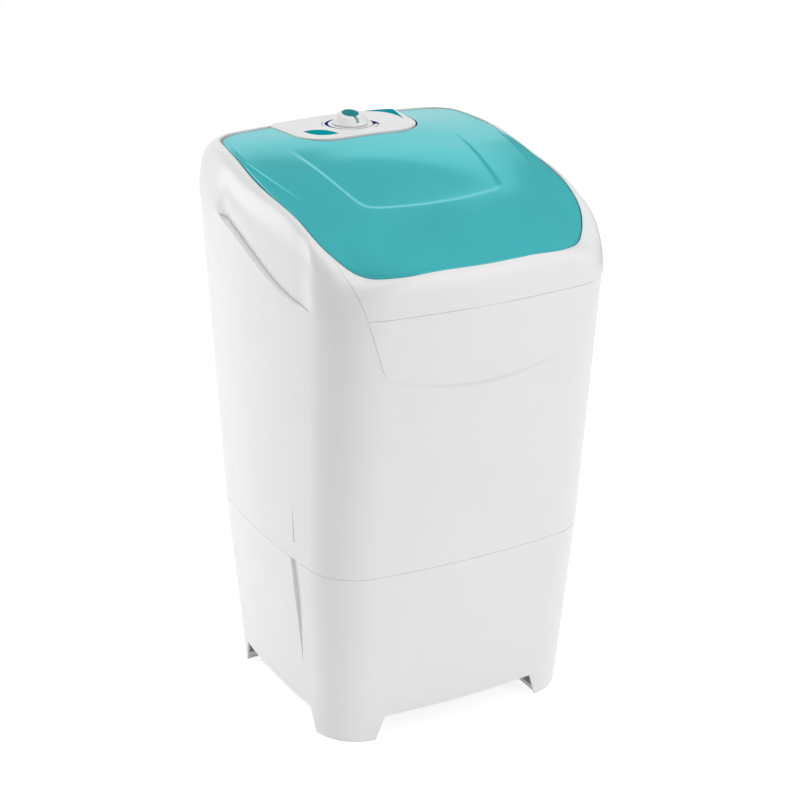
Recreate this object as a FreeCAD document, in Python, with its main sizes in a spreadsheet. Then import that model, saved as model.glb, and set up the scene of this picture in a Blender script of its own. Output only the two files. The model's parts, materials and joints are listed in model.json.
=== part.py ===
import FreeCAD, Part
import math
import os
import Sketcher
from FreeCAD import Placement, Rotation, Vector

# Single-tub washing machine: tapered plastic body on four moulded feet, sloping top with a hinged lid,
# a timer knob on a rear console, and a belt-driven agitator in the tub.
# Millimetres, +Z up, front towards -Y, origin on the floor under the middle of the body.

SIZES = [
    # Body: half sizes of the section at the floor, at the base seam and at the cover seam
    ("floor_half_width", 229.5), ("floor_half_depth", 208.7), ("floor_corner", 79.6),
    ("base_seam_height", 307), ("base_half_width", 249.2), ("base_half_depth", 239.7), ("base_corner", 87),
    ("seam_front_height", 740), ("seam_half_width", 261.1), ("seam_half_depth", 283.5), ("seam_corner", 98.6),
    ("seam_rear_height", 812), ("seam_rise_start", -182), ("seam_rise_end", 122),
    ("front_bulge", 1320), ("side_bulge", 1280), ("rear_bulge", 2600),
    ("body_wall", 3), ("base_wall", 4), ("cover_lip", 1.2), ("bib_raise", 1.5), ("seam_gap", 0.4),
    # Base: feet, side flash and locating ring
    ("gland_radius", 9), ("arch_height", 44), ("arch_half_width", 136), ("arch_half_depth", 120),
    ("arch_slant", 16), ("foot_floor", 14), ("pad_drop", 1.5), ("ring_height", 7), ("flash_depth", 5),
    # Lid and the opening it closes
    ("lid_side_inset", 29.1), ("lid_front_inset", 11.5), ("lid_corner", 130), ("lid_rear_corner", 45),
    ("lid_front_height", 803), ("lid_rear_height", 902), ("lid_arc", 1311), ("lid_crown", 12),
    ("rim_crown", 7), ("lid_corner_setback", 52), ("lid_edge_drop", 6.2), ("lid_edge_width", 14.5),
    ("lid_skin", 2.6), ("lid_skirt", 15), ("lid_gap", 2), ("rear_gap", 7.2), ("recess_depth", 16.5),
    ("hinge_inset", 71.5), ("hinge_barrel", 5), ("hinge_pin", 2), ("hinge_clearance", 0.06),
    ("grip_depth", 10), ("grip_lip", 4),
    # Control console, timer and knob
    ("console_reach", 119), ("console_behind", 18), ("console_front_half", 103), ("console_rear_half", 115),
    ("console_corner", 60), ("notch_gap", 3), ("console_rise", 7), ("console_crown", 2000),
    ("console_box_depth", 43), ("panel_thick", 3), ("knob_set_back", 52), ("knob_radius", 30),
    ("knob_top_radius", 15.5), ("knob_height", 21), ("knob_face_height", 14.4), ("knob_face_slope", 16.7),
    ("cap_radius", 14.5), ("cap_tail", 26), ("cap_thick", 1.6), ("timer_shaft_radius", 3),
    # Tub, agitator and drive
    ("tub_floor_rise", 38), ("tub_rim_height", 715), ("tub_wall", 3), ("tub_floor_wall", 4),
    ("tub_low_half_width", 205), ("tub_low_half_depth", 215), ("tub_rim_inset", 28), ("lip_bottom", 705),
    ("agitator_radius", 150), ("shaft_radius", 8), ("bush_radius", 13), ("running_clearance", 0.05),
    ("soft_gap", 0.3), ("pulley_height", 250), ("drive_groove", 80), ("motor_groove", 22), ("belt_thick", 6),
    ("motor_y", 135), ("motor_radius", 60), ("motor_shaft_radius", 6), ("bracket_height", 226),
    ("drain_x", 150), ("drain_y", 120), ("drain_drop", 15), ("drain_radius", 14), ("spigot_radius", 12.5),
    ("spigot_start", 240), ("spigot_end", 274), ("drain_bore", 10),
    ("filter_half_width", 40), ("filter_set_in", 20.8), ("filter_bottom", 540), ("filter_height", 100),
]

# Sizes that follow another one: what they are measured from, and how far off they are
TIED = {
    "lid_half_width": ("seam_half_width", -1, "lid_side_inset"),
    "lid_front": ("seam_half_depth", -1, "lid_front_inset"),
    "hinge_y": ("seam_half_depth", -1, "hinge_inset"),
    "console_front": ("hinge_y", -1, "console_reach"),
    "console_rear": ("hinge_y", 1, "console_behind"),
    "console_top": ("lid_rear_height", 1, "console_rise"),
    "console_box_floor": ("console_top", -1, "console_box_depth"),
    "knob_y": ("hinge_y", -1, "knob_set_back"),
    "tub_floor_height": ("base_seam_height", 1, "tub_floor_rise"),
    "drain_height": ("tub_floor_height", -1, "drain_drop"),
}

doc = FreeCAD.newDocument("washing_machine")
sheet = doc.addObject("Spreadsheet::Sheet", "Sizes")
for row, (alias, number) in enumerate(SIZES, start=1):
    sheet.set(f"A{row}", alias)
    sheet.set(f"B{row}", str(number))
    sheet.setAlias(f"B{row}", alias)
doc.recompute()

PARTS = []


class Term:
    """A size as a number together with the sheet expression that it stands for."""

    def __init__(self, value, text):
        self.value = value
        self.text = text

    def __add__(self, other):
        other = term(other)
        return Term(self.value + other.value, f"({self.text} + {other.text})")

    def __sub__(self, other):
        other = term(other)
        return Term(self.value - other.value, f"({self.text} - {other.text})")

    def __mul__(self, other):
        other = term(other)
        return Term(self.value * other.value, f"({self.text} * {other.text})")


def term(value):
    """Plain numbers become terms too."""
    return value if isinstance(value, Term) else Term(float(value), str(value))


def cell(alias):
    """Sheet value, or a size tied to others, as a term."""
    if alias in TIED:
        base, sign, offset = TIED[alias]
        return cell(base) + cell(offset) if sign > 0 else cell(base) - cell(offset)
    return Term(float(sheet.get(alias)), f"Sizes.{alias}")


def size(alias):
    """Sheet value, or a size tied to others, as a number."""
    return cell(alias).value


def ease(share):
    """Smooth step from 0 to 1."""
    share = min(max(share, 0.0), 1.0)
    return share * share * (3 - 2 * share)


# Document objects

def place(obj, at):
    """Bind the object's position to terms."""
    for letter, value in zip("xyz", at):
        obj.setExpression(f"Placement.Base.{letter}", term(value).text)


def feature(label, shape):
    """Node whose shape is built from surfaces that no single sketch feature gives."""
    obj = doc.addObject("Part::Feature", label)
    obj.Shape = shape
    obj.Placement = Placement()
    PARTS.append(obj)
    return obj


def new_sketch(body, name, role):
    plane = [item for item in body.Origin.OriginFeatures if item.Role == role][0]
    sketch = body.newObject("Sketcher::SketchObject", name)
    sketch.AttachmentSupport = [(plane, "")]
    sketch.MapMode = "FlatFace"
    return sketch


def fix_point(sketch, line, end, coords):
    """Hold one end of a line at a distance from the sketch origin given by terms."""
    for kind, axis, value in (("DistanceX", -2, coords[0]), ("DistanceY", -1, coords[1])):
        value = term(value)
        if value.text in ("0", "0.0"):
            sketch.addConstraint(Sketcher.Constraint("PointOnObject", line, end, axis))
            continue
        index = sketch.addConstraint(Sketcher.Constraint(kind, -1, 1, line, end, value.value))
        sketch.setExpression(f"Constraints[{index}]", value.text)


def closed_lines(sketch, points):
    """Closed outline of straight lines through points given as terms."""
    first = sketch.GeometryCount
    flat = [Vector(term(a).value, term(b).value, 0) for a, b in points]
    count = len(points)
    for i in range(count):
        sketch.addGeometry(Part.LineSegment(flat[i], flat[(i + 1) % count]), False)
    for i in range(count):
        sketch.addConstraint(Sketcher.Constraint("Coincident", first + i, 2, first + (i + 1) % count, 1))
    for i in range(count):
        fix_point(sketch, first + i, 1, points[i])


def circle(sketch, centre, radius):
    """Circle whose centre and radius are terms."""
    at = Vector(term(centre[0]).value, term(centre[1]).value, 0)
    radius = term(radius)
    index = sketch.addGeometry(Part.Circle(at, Vector(0, 0, 1), radius.value), False)
    fix_point(sketch, index, 3, centre)
    number = sketch.addConstraint(Sketcher.Constraint("Radius", index, radius.value))
    sketch.setExpression(f"Constraints[{number}]", radius.text)


def turned(label, profile, at=(0, 0, 0)):
    """Body of revolution about Z through a profile of (radius, height) terms."""
    body = doc.addObject("PartDesign::Body", label)
    sketch = new_sketch(body, f"{label}_profile", "XZ_Plane")
    closed_lines(sketch, profile)
    turn = body.newObject("PartDesign::Revolution", f"{label}_turn")
    turn.Profile = sketch
    turn.ReferenceAxis = (sketch, ["V_Axis"])
    turn.Angle = 360
    place(body, at)
    PARTS.append(body)
    return body


def plate(label, outline, holes, thick, at=(0, 0, 0)):
    """Flat body: an outline of terms with round holes, padded up by its thickness."""
    body = doc.addObject("PartDesign::Body", label)
    sketch = new_sketch(body, f"{label}_outline", "XY_Plane")
    if isinstance(outline, list):
        closed_lines(sketch, outline)
    else:
        circle(sketch, (0, 0), outline)
    for centre, radius in holes:
        circle(sketch, centre, radius)
    pad = body.newObject("PartDesign::Pad", f"{label}_pad")
    pad.Profile = sketch
    pad.setExpression("Length", term(thick).text)
    place(body, at)
    PARTS.append(body)
    return body


# Outlines and lofts

def six_round(radius):
    """Six points evenly round a circle."""
    turns = [math.radians(60 * step) for step in range(6)]
    return [(radius * math.cos(turn), radius * math.sin(turn)) for turn in turns]


def meet(first, first_radius, second, second_radius):
    """Left-hand crossing of two circles."""
    dx, dy = second[0] - first[0], second[1] - first[1]
    apart = math.hypot(dx, dy)
    along = (first_radius ** 2 - second_radius ** 2 + apart ** 2) / (2 * apart)
    off = math.sqrt(first_radius ** 2 - along ** 2)
    base = (first[0] + along * dx / apart, first[1] + along * dy / apart)
    sides = [(base[0] + k * off * dy / apart, base[1] - k * off * dx / apart) for k in (1, -1)]
    return min(sides)


def bearing(start, end):
    """Direction from one plan point to another: 0 at the front, 90 at the left, 180 at the rear."""
    return math.atan2(start[0] - end[0], start[1] - end[1])


def half_outline(width, front, rear, side_y, bulges, corners):
    """Left half of a rounded rectangle with bulged sides: five arcs from front middle to rear middle."""
    front_centre = (0, bulges[0] - front)
    side_centre = (bulges[1] - width, side_y)
    rear_centre = (0, rear - bulges[2])
    near = meet(front_centre, bulges[0] - corners[0], side_centre, bulges[1] - corners[0])
    far = meet(rear_centre, bulges[2] - corners[1], side_centre, bulges[1] - corners[1])
    turns = [0, bearing(front_centre, near), bearing(side_centre, near),
             bearing(side_centre, far), bearing(rear_centre, far), math.pi]
    arcs = [(front_centre, bulges[0]), (near, corners[0]), (side_centre, bulges[1]),
            (far, corners[1]), (rear_centre, bulges[2])]
    return [(centre, radius, turns[i], turns[i + 1]) for i, (centre, radius) in enumerate(arcs)]


def arc_point(arc, share):
    """Plan point at a share of the way along an arc."""
    (cx, cy), radius, start, end = arc
    turn = start + (end - start) * share
    return cx - radius * math.sin(turn), cy - radius * math.cos(turn)


def closed_wire(half, z):
    """Full outline at one height: front, corners, sides and rear as eight arcs."""
    def at(arc, share, sign=-1):
        x, y = arc_point(arc, share)
        return Vector(-sign * x, y, z)

    front, near, side, far, rear = half
    edges = [Part.Arc(at(front, 1, 1), at(front, 0), at(front, 1))]
    edges += [Part.Arc(at(arc, 0), at(arc, 0.5), at(arc, 1)) for arc in (near, side, far)]
    edges += [Part.Arc(at(rear, 0), at(rear, 1), at(rear, 0, 1))]
    edges += [Part.Arc(at(arc, 1, 1), at(arc, 0.5, 1), at(arc, 0, 1)) for arc in (far, side, near)]
    return Part.Wire([edge.toShape() for edge in edges])


def rear_flat():
    """How much less the flatter back bulges, so that front and back reach equally far from the middle."""
    wider = size("seam_half_depth") - size("base_half_depth")
    taller = size("seam_front_height") - size("base_seam_height")
    return wider / taller * (size("seam_rear_height") - size("seam_front_height")) - size("bib_raise")


def body_half(z, inset):
    """Body outline at a height, set in from the outside by an inset."""
    low, high = ("floor", "base") if z < size("base_seam_height") else ("base", "seam")
    bottom = {"floor": 0.0, "base": size("base_seam_height")}[low]
    top = {"base": size("base_seam_height"), "seam": size("seam_front_height")}[high]
    share = (z - bottom) / (top - bottom)

    def between(kind):
        start, end = size(f"{low}_{kind}"), size(f"{high}_{kind}")
        return start + (end - start) * share - inset

    bulges = [size(f"{side}_bulge") - inset for side in ("front", "side", "rear")]
    depth = between("half_depth")
    corner = between("corner")
    return half_outline(between("half_width"), depth, depth - rear_flat(), 0, bulges, (corner, corner))


def body_block(z_low, z_high, inset):
    """Solid tapered block of the body between two heights."""
    wires = [closed_wire(body_half(z, inset), z) for z in (z_low, z_high)]
    return Part.makeLoft(wires, True, True)


def body_ring(z_low, z_high, outer, inner):
    return body_block(z_low, z_high, outer).cut(body_block(z_low, z_high, inner))


def flat_prism(points, direction, reach):
    """Polygon in the XZ or YZ plane pushed both ways through the body."""
    if direction == "y":
        ring = [Vector(a, -reach, b) for a, b in points]
        push = Vector(0, 2 * reach, 0)
    else:
        ring = [Vector(-reach, a, b) for a, b in points]
        push = Vector(2 * reach, 0, 0)
    return Part.Face(Part.makePolygon(ring + ring[:1])).extrude(push)


def rounded_wire(points, radii, grow, z):
    """Plan polygon, counter-clockwise, with rounded corners, grown outward by a distance."""
    count = len(points)
    lines = []
    for i in range(count):
        a, b = Vector(*points[i], z), Vector(*points[(i + 1) % count], z)
        along = (b - a).normalize()
        lines.append((a + Vector(along.y, -along.x, 0) * grow, along))
    corners = []
    for i in range(count):
        (p, u), (q, v) = lines[i - 1], lines[i]
        step = ((q.x - p.x) * v.y - (q.y - p.y) * v.x) / (u.x * v.y - u.y * v.x)
        corners.append((p + u * step, u, v, max(radii[i] + grow, 0.5)))
    edges = []
    ends = []
    for corner, u, v, radius in corners:
        half = u.getAngle(v) / 2
        cut = radius * math.tan(half)
        start, end = corner - u * cut, corner + v * cut
        toward = (v - u).normalize()
        middle = corner + toward * (radius / math.cos(half) - radius)
        edges.append(Part.Arc(start, middle, end).toShape())
        ends.append((start, end))
    for i in range(count):
        edges.append(Part.LineSegment(ends[i][1], ends[(i + 1) % count][0]).toShape())
    return Part.Wire(Part.__sortEdges__(edges))


def upright(wire, height):
    return Part.Face(wire).extrude(Vector(0, 0, height))


def rod(radius, start, end):
    """Round bar between two points."""
    start, end = Vector(*start), Vector(*end)
    return Part.makeCylinder(radius, (end - start).Length, start, end - start)


# Base with feet

def arches(grow):
    """Openings between the feet, seen from the front and from the side."""
    top = size("arch_height") + grow
    slant = size("arch_slant")
    tools = []
    for direction, half in (("y", size("arch_half_width") + grow), ("x", size("arch_half_depth") + grow)):
        foot = half + slant
        tools.append(flat_prism([(-foot, -5), (foot, -5), (half, top), (-half, top)], direction, 400))
    return tools


def make_base():
    top = size("base_seam_height")
    wall = size("base_wall")
    low = size("pad_drop")
    shape = body_ring(low, top, 0, wall)
    shape = shape.fuse(body_block(size("foot_floor"), size("foot_floor") + 3, wall - 1))
    inner = size("body_wall") + size("soft_gap")
    shape = shape.fuse(body_ring(top - 12, top + size("ring_height"), inner, inner + 3))
    shape = shape.fuse(body_ring(100, top, wall - 1, wall + 6).common(flash_block(20)))
    shape = shape.cut(body_ring(top - 0.8, top + 0.1, -1, 1.2))
    for tool in arches(0):
        shape = shape.cut(tool)
    shape = shape.cut(body_ring(60, top + 1, -2, size("flash_depth")).common(flash_block(0)))
    shape = shape.cut(gland_bore(size("gland_radius") + size("soft_gap")))
    for x, y in rear_screw_places():
        shape = shape.cut(rod(2.5, (x, y - 12, top + 3.5), (x, y + 8, top + 3.5)))
    feature("base_skirt", shape.removeSplitter())
    pads = body_block(0, size("foot_floor"), wall + size("soft_gap"))
    for tool in arches(4):
        pads = pads.cut(tool)
    feature("foot_pads", Part.makeCompound(pads.Solids))


def flash_block(grow):
    """Long thin wedge on each side of the base, widest at the seam and pointed below."""
    top = size("base_seam_height") + 5
    points = [(-126 - grow, top), (-110, 120 - grow), (-98 + grow, top)]
    return flat_prism(points, "x", 400)


def gland_bore(radius):
    """Bore through the rear of the base for the cord inlet."""
    return rod(radius, (-120, 150, 200), (-120, 300, 200))


# Cabinet

def seam_height(y):
    """Lower edge of the top cover: level at the front, rising in an S along the sides to the rear."""
    share = (y - size("seam_rise_start")) / (size("seam_rise_end") - size("seam_rise_start"))
    rise = size("seam_rear_height") - size("seam_front_height")
    return size("seam_front_height") + rise * ease(share)


def above_seam(drop):
    """Everything above the seam surface, lowered by a drop."""
    front, rear = size("seam_front_height") - drop, size("seam_rear_height") - drop
    start, end = size("seam_rise_start"), size("seam_rise_end")
    third = (end - start) / 3
    curve = Part.BezierCurve()
    curve.setPoles([Vector(-400, start, front), Vector(-400, start + third, front),
                    Vector(-400, end - third, rear), Vector(-400, end, rear)])
    corners = [(end, rear), (400, rear), (400, 1000), (-400, 1000), (-400, front), (start, front)]
    ring = [Vector(-400, y, z) for y, z in corners]
    wire = Part.Wire([curve.toShape()] + Part.makePolygon(ring).Edges)
    return Part.Face(wire).extrude(Vector(800, 0, 0))


def bib_block(reach):
    """Front panel outline: slanted sides and a shallow curved lower edge with rounded corners."""
    side_top, side_low, corner = (216, 820), (164, 646), 24
    drop = 28
    left = [(-x, z) for x, z in (side_low, side_top)]
    ring = [Vector(x, -reach, z) for x, z in left + [side_top, side_low]]
    bow = Part.Arc(ring[3], Vector(0, -reach, side_low[1] - drop), ring[0]).toShape()
    face = Part.Face(Part.Wire(Part.makePolygon(ring).Edges + [bow]))
    block = face.extrude(Vector(0, reach, 0))
    lower = [edge for edge in block.Edges
             if len(edge.Vertexes) == 2 and all(abs(v.Z - side_low[1]) < 0.01 for v in edge.Vertexes)
             and abs(edge.Vertexes[0].X - edge.Vertexes[1].X) < 0.01]
    return block.makeFillet(corner, lower)


def make_cabinet():
    low, high = size("base_seam_height"), size("seam_rear_height") + 20
    wall = size("body_wall")
    top_cut = above_seam(0)
    shape = body_ring(low, high, 0, wall)
    bib = body_ring(low + 200, high, -size("bib_raise"), 1).common(bib_block(400))
    shape = shape.fuse(bib)
    flange = body_ring(low + 350, high, wall - 0.5, wall + 11).common(above_seam(3))
    rim = size("tub_rim_height")
    ledge = body_ring(rim - 3, rim, wall - 0.5, size("tub_rim_inset") - 8)
    shape = shape.fuse([flange, ledge]).cut(top_cut).cut(lip_ring())
    mark = flat_prism([(-116, 338), (-110, 338), (-112, 408)], "x", 400)
    shape = shape.cut(body_ring(low + 20, low + 120, -2, 1.2).common(mark))
    shape = shape.cut(rod(size("drain_radius") + 0.5, (size("drain_x"), 150, size("drain_height")),
                          (size("drain_x"), 300, size("drain_height"))))
    for x, y in rear_screw_places():
        shape = shape.cut(rod(2.8, (x, y - 12, low + 3.5), (x, y + 8, low + 3.5)))
    for x, y, z in cover_screw_places():
        shape = shape.cut(rod(2.2, (x, y, z - 10), (x, y, z + 4)))
    feature("cabinet", shape.removeSplitter())


def rear_screw_places():
    """Rear screws that tie the cabinet to the base's locating ring: where each passes the outer face."""
    half = body_half(size("base_seam_height"), 0)
    centre, radius = half[4][0], half[4][1]
    return [(x, centre[1] + math.sqrt(radius ** 2 - x ** 2)) for x in (-60, 60)]


def cover_screw_places():
    """Upright screws through the cabinet's top flange, two at the front and two at the rear."""
    front, rear = size("seam_front_height"), size("seam_rear_height")
    places = []
    for z, arc in ((front, 0), (rear, 4)):
        half = body_half(z, 7.6)
        centre, radius = half[arc][0], half[arc][1]
        sign = -1 if arc == 0 else 1
        places += [(x, centre[1] + sign * math.sqrt(radius ** 2 - x ** 2), z) for x in (-120, 120)]
    return places


# Lid surface and top cover

def lid_half(grow, rear):
    """Lid outline in plan, grown by a gap, with its own rear edge."""
    bulges = (1300 + grow, 1190 + grow, 60000)
    corners = (size("lid_corner") + grow, size("lid_rear_corner") + grow)
    return half_outline(size("lid_half_width") + grow, size("lid_front") + grow, rear, -17, bulges, corners)


def soft_min(first, second, width):
    """Smaller of two values with a rounded changeover."""
    gap = (first - second) / width
    return second + width * -math.log(math.exp(-gap) + 1) if gap > -30 else first


def lid_crease(y):
    """Distance out from the centre line at which the lid's rolled side edge starts."""
    back = y - 90
    return size("lid_half_width") - size("lid_edge_width") - back ** 2 * (0.0018 if back > 0 else 0.00076)


def edge_roll(x, y):
    """Fall of the lid's side edge outside its crease, deepest midway along the side."""
    crease = lid_crease(y)
    outward = max(abs(x) - crease, 0.0) / (size("lid_half_width") - crease)
    return size("lid_edge_drop") * outward ** 2 * max(1 - ((y - 5) / 130) ** 2, 0.0) ** 1.5


def lid_height(x, y):
    """Top of the lid: a long arc falling from the hinge, crowned at the rear, rolling down to the front."""
    arc = size("lid_arc")
    back = min(size("hinge_y") - y, 0.9 * arc)
    main = size("lid_rear_height") - arc + math.sqrt(arc ** 2 - back ** 2)
    across = max(1 - (x / size("lid_half_width")) ** 2, 0.0)
    beside_console = ease((y - size("console_front") - 27) / (size("console_reach") - 27))
    crown = size("lid_crown") + (size("rim_crown") - size("lid_crown")) * beside_console
    main += crown * across ** 1.5 * ease((y + 120) / 160)
    set_back = soft_min((x / 189.0) ** 4, 1.0, 1 / 6) * size("lid_corner_setback")
    inside = y + size("lid_front") - set_back
    roll = 1.57 * ((inside + 3) ** 0.79 - 3 ** 0.79) if inside > 0 else inside
    return soft_min(main, size("lid_front_height") + roll, 5.0) - edge_roll(x, y)


def lid_sheet():
    """Smooth face through the lid's top surface, wider than the lid."""
    width = size("lid_half_width") + 12
    front, rear = size("lid_front") + 14, size("hinge_y") + 16
    columns, rows = 41, 27
    grid = []
    for i in range(columns):
        x = -width + 2 * width * i / (columns - 1)
        line = []
        for j in range(rows):
            y = -front + (front + rear) * j / (rows - 1)
            line.append(Vector(x, y, lid_height(x, y)))
        grid.append(line)
    surface = Part.BSplineSurface()
    surface.interpolate(grid)
    return surface.toShape()


def console_half(y):
    """Half-width of the console at a distance back."""
    share = (y - size("console_front")) / (size("console_rear") - size("console_front"))
    return size("console_front_half") + (size("console_rear_half") - size("console_front_half")) * share


def console_points(rear):
    """Console outline in plan, narrower at the front, counter-clockwise."""
    front = size("console_front")
    near, far = console_half(front), console_half(rear)
    return [(-near, front), (near, front), (far, rear), (-far, rear)]


def console_wire(grow, z):
    corner = size("console_corner")
    return rounded_wire(console_points(size("console_rear")), (corner, corner, 14, 14), grow, z)


def box_wire(grow, z):
    """Outline of the timer's box, which ends in front of the hinge."""
    corner = size("console_corner")
    return rounded_wire(console_points(size("hinge_y") - 6), (corner, corner, 2, 2), grow, z)


def crown_block(level):
    """Everything below the console's crowned top at a level on its centre line."""
    radius = size("console_crown")
    return rod(radius, (0, -100, level - radius), (0, 500, level - radius))


def scoop(y):
    """Share of the hand grip's depth along the side of the cover."""
    return (1 - ease((y - 92) / 20)) * (1 - ease((-y - 164) / 34))


def grip_rise(y):
    """How far up the cover's side the hand grip reaches: little at its rear end, all the way at its front."""
    return 0.1 + 0.9 * ease((90 - y) / 190)


def cover_station(arc, share):
    """Plan point on the seam, plan direction to the lid opening, the heights and widths found there, and how
    squarely that direction leaves the seam."""
    seam = size("seam_front_height")
    for _ in range(6):
        foot = arc_point(body_half(seam, -size("cover_lip"))[arc], share)
        seam = seam_height(foot[1])
    opening = lid_half(size("lid_gap"), size("hinge_y") + size("hinge_barrel") + size("rear_gap"))[arc]
    edge = arc_point(opening, share)
    inward = ((opening[0][0] - edge[0]) / opening[1], (opening[0][1] - edge[1]) / opening[1])
    outline = body_half(seam, -size("cover_lip"))[arc]
    square = ((outline[0][0] - foot[0]) / outline[1], (outline[0][1] - foot[1]) / outline[1])
    if arc in (0, 4) and share in (0, 1) and abs(edge[0]) < 0.5:
        foot, edge = (0.0, foot[1]), (0.0, edge[1])
    across = math.hypot(edge[0] - foot[0], edge[1] - foot[1])
    way = ((edge[0] - foot[0]) / across, (edge[1] - foot[1]) / across)
    slant = max(way[0] * square[0] + way[1] * square[1], 0.3)
    return foot, way, across, seam + size("seam_gap"), lid_height(edge[0], edge[1]), edge, inward, slant


def along(start, way, flat):
    """Points of a flat section given as distances from a plan point and heights."""
    return [Vector(start[0] + way[0] * h, start[1] + way[1] * h, z) for h, z in flat]


def cover_section(arc, share):
    """Control points of the cover's cross-section: outer shoulder, lid recess, ledge, inner lip, inside."""
    foot, way, across, seam, rim, edge, inward, slant = cover_station(arc, share)
    wall = size("body_wall")
    side = wall / slant
    grip = size("grip_depth") * scoop(foot[1]) if arc in (1, 2, 3) else 0.0
    ledge = 14 + 15 * min(max((-edge[1] - 150) / 100, 0.0), 1.0)
    tall = rim - seam
    floor = rim - size("recess_depth")
    lip = size("lip_bottom")
    outer_foot = seam_height(foot[1] + way[1] * grip) + size("seam_gap")
    inner_foot = seam_height(foot[1] + way[1] * (grip + side)) + size("seam_gap")
    turn = 0.4 * grip + 0.28 * across
    high = grip * grip_rise(foot[1])
    shoulder = [(grip, outer_foot), (high, seam + 0.435 * tall),
                (0.7 * high + 0.14 * across, seam + 0.78 * tall),
                (0.3 * high + 0.46 * across, rim - 0.015 * tall), (across, rim), (across, floor)]
    bowl = [(ledge, floor), (ledge, lip), (ledge - 2.5, lip), (ledge - 2.5, floor - 3)]
    back = [(across - wall, floor - 3), (across - wall, rim - wall),
            (turn + wall / 2, rim - 0.02 * tall - wall),
            (grip + side, seam + 0.58 * tall), (grip + side, inner_foot)]
    return along(foot, way, shoulder) + along(edge, inward, bowl) + along(foot, way, back)


def bib_section(arc, share):
    """Layer on the cover's front that carries the raised front panel up to the lid."""
    foot, way, across, seam, rim = cover_station(arc, share)[:5]
    out, deep = -size("bib_raise"), size("body_wall") / 2
    tall = rim - seam
    flat = [(out, seam + 0.4), (out, seam + 0.58 * tall), (out + 0.28 * across, rim - 0.02 * tall),
            (out + across, rim), (out + across, rim - 3), (deep + 0.28 * across, rim - 0.02 * tall - 3),
            (deep, seam + 0.58 * tall), (deep, seam + 0.4)]
    return along(foot, way, flat)


def around(steps):
    """Stations from the rear middle round the left side, the front and the right side, back to the rear."""
    left = [(0, 0.0)]
    for arc, count in enumerate(steps):
        left += [(arc, step / count) for step in range(1, count + 1)]
    return [(arc, share, 1) for arc, share in left[::-1]] + [(arc, share, -1) for arc, share in left[1:]]


def ring_solid(section, steps, strips):
    """Closed ring through cross-sections; each strip joins neighbouring rails as a flat or a curved band."""
    rows = []
    for arc, share, side in around(steps):
        rows.append([Vector(side * p.x, p.y, p.z) for p in section(arc, share)])
    reach = [0.0]
    for one, two in zip(rows, rows[1:]):
        reach.append(reach[-1] + (two[3] - one[3]).Length)
    marks = [value / reach[-1] for value in reach]
    rails = []
    for index in range(len(rows[0])):
        rail = Part.BSplineCurve()
        rail.interpolate(Points=[row[index] for row in rows], Parameters=marks)
        rails.append(rail)
    lead = rails[0]
    stops = [0]
    for count in steps[::-1] + steps:
        stops.append(stops[-1] + count)
    faces = []
    for strip in strips:
        degree = len(strip) - 1
        poles = [[rails[index].getPole(number + 1) for index in strip] for number in range(lead.NbPoles)]
        for start, end in zip([marks[i] for i in stops], [marks[i] for i in stops[1:]]):
            band = Part.BSplineSurface()
            band.buildFromPolesMultsKnots(poles, lead.getMultiplicities(), [degree + 1, degree + 1],
                                          lead.getKnots(), [0.0, 1.0], False, False, lead.Degree, degree)
            band.segment(start, end, 0.0, 1.0)
            faces.append(band.toShape())
    shell = Part.Shell(faces)
    shell.sewShape()
    solid = Part.makeSolid(shell)
    if solid.Volume < 0:
        solid.reverse()
    return solid


STATIONS = (4, 7, 18, 6, 4)


def cover_ring():
    flats = [(rail, rail + 1) for rail in range(4, 11)]
    return ring_solid(cover_section, STATIONS, [(0, 1, 2, 3, 4)] + flats + [(11, 12, 13, 14), (14, 0)])


def bib_ring():
    strips = [(0, 1, 2, 3), (3, 4), (4, 5, 6, 7), (7, 0)]
    return ring_solid(bib_section, STATIONS, strips)


def lip_section(arc, share):
    """Wedge that slopes off the cabinet's top edge under the hand grips and misses it elsewhere."""
    foot, way = cover_station(arc, share)[:2]
    grip = scoop(foot[1]) if arc in (1, 2, 3) else 0.0
    wall, clear = size("cover_lip"), size("bib_raise") + 0.5
    broad = (size("grip_lip") + clear) * grip - clear
    low, high = wall - clear, wall + broad + 1
    bottom = seam_height(foot[1] + way[1] * low) - broad - clear
    top = seam_height(foot[1] + way[1] * high) + 1
    return along(foot, way, [(low, bottom), (high, top), (high, top + 3), (low, top + 3)])


def lip_ring():
    return ring_solid(lip_section, STATIONS, [(0, 1), (1, 2), (2, 3), (3, 0)])


HINGE_END = 174


def hinge_axis():
    """Hinge line: its distance back, its height, and where the console's flank leaves room for it."""
    y = size("hinge_y")
    return y, lid_height(HINGE_END, y) - size("hinge_barrel"), console_half(y) - 1


def console_deck():
    """Raised rear console of the cover: a crowned top over an open box for the timer."""
    top, floor = size("console_top"), size("console_box_floor")
    deck = upright(console_wire(0, top - 22), 30).common(crown_block(top))
    box = upright(box_wire(0, floor), top - 10 - floor)
    return deck.fuse(box).cut(upright(box_wire(-3, floor), top - 8 - floor))


def panel_seat():
    """Room above the deck that the control panel fills, cut out of the rim behind the lid."""
    top = size("console_top")
    return upright(console_wire(size("soft_gap"), top - 12), 40).cut(crown_block(top))


def make_cover():
    y, z, inner = hinge_axis()
    shape = cover_ring()
    for x, place_y, base in cover_screw_places():
        shape = shape.fuse(rod(8.2, (x, place_y, base + size("seam_gap")), (x, place_y, base + 14)))
    shape = shape.fuse(bib_ring().common(bib_block(400)))
    shape = shape.fuse(console_deck()).cut(panel_seat())
    for x, place_y, base in cover_screw_places():
        shape = shape.cut(rod(2, (x, place_y, base - 1), (x, place_y, base + 11)))
    for side in (-1, 1):
        shape = shape.cut(rod(size("hinge_pin"), (side * (inner - 20), y, z), (side * (inner + 8), y, z)))
    shape = shape.cut(shaft_hole())
    feature("top_cover", shape)


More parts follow.
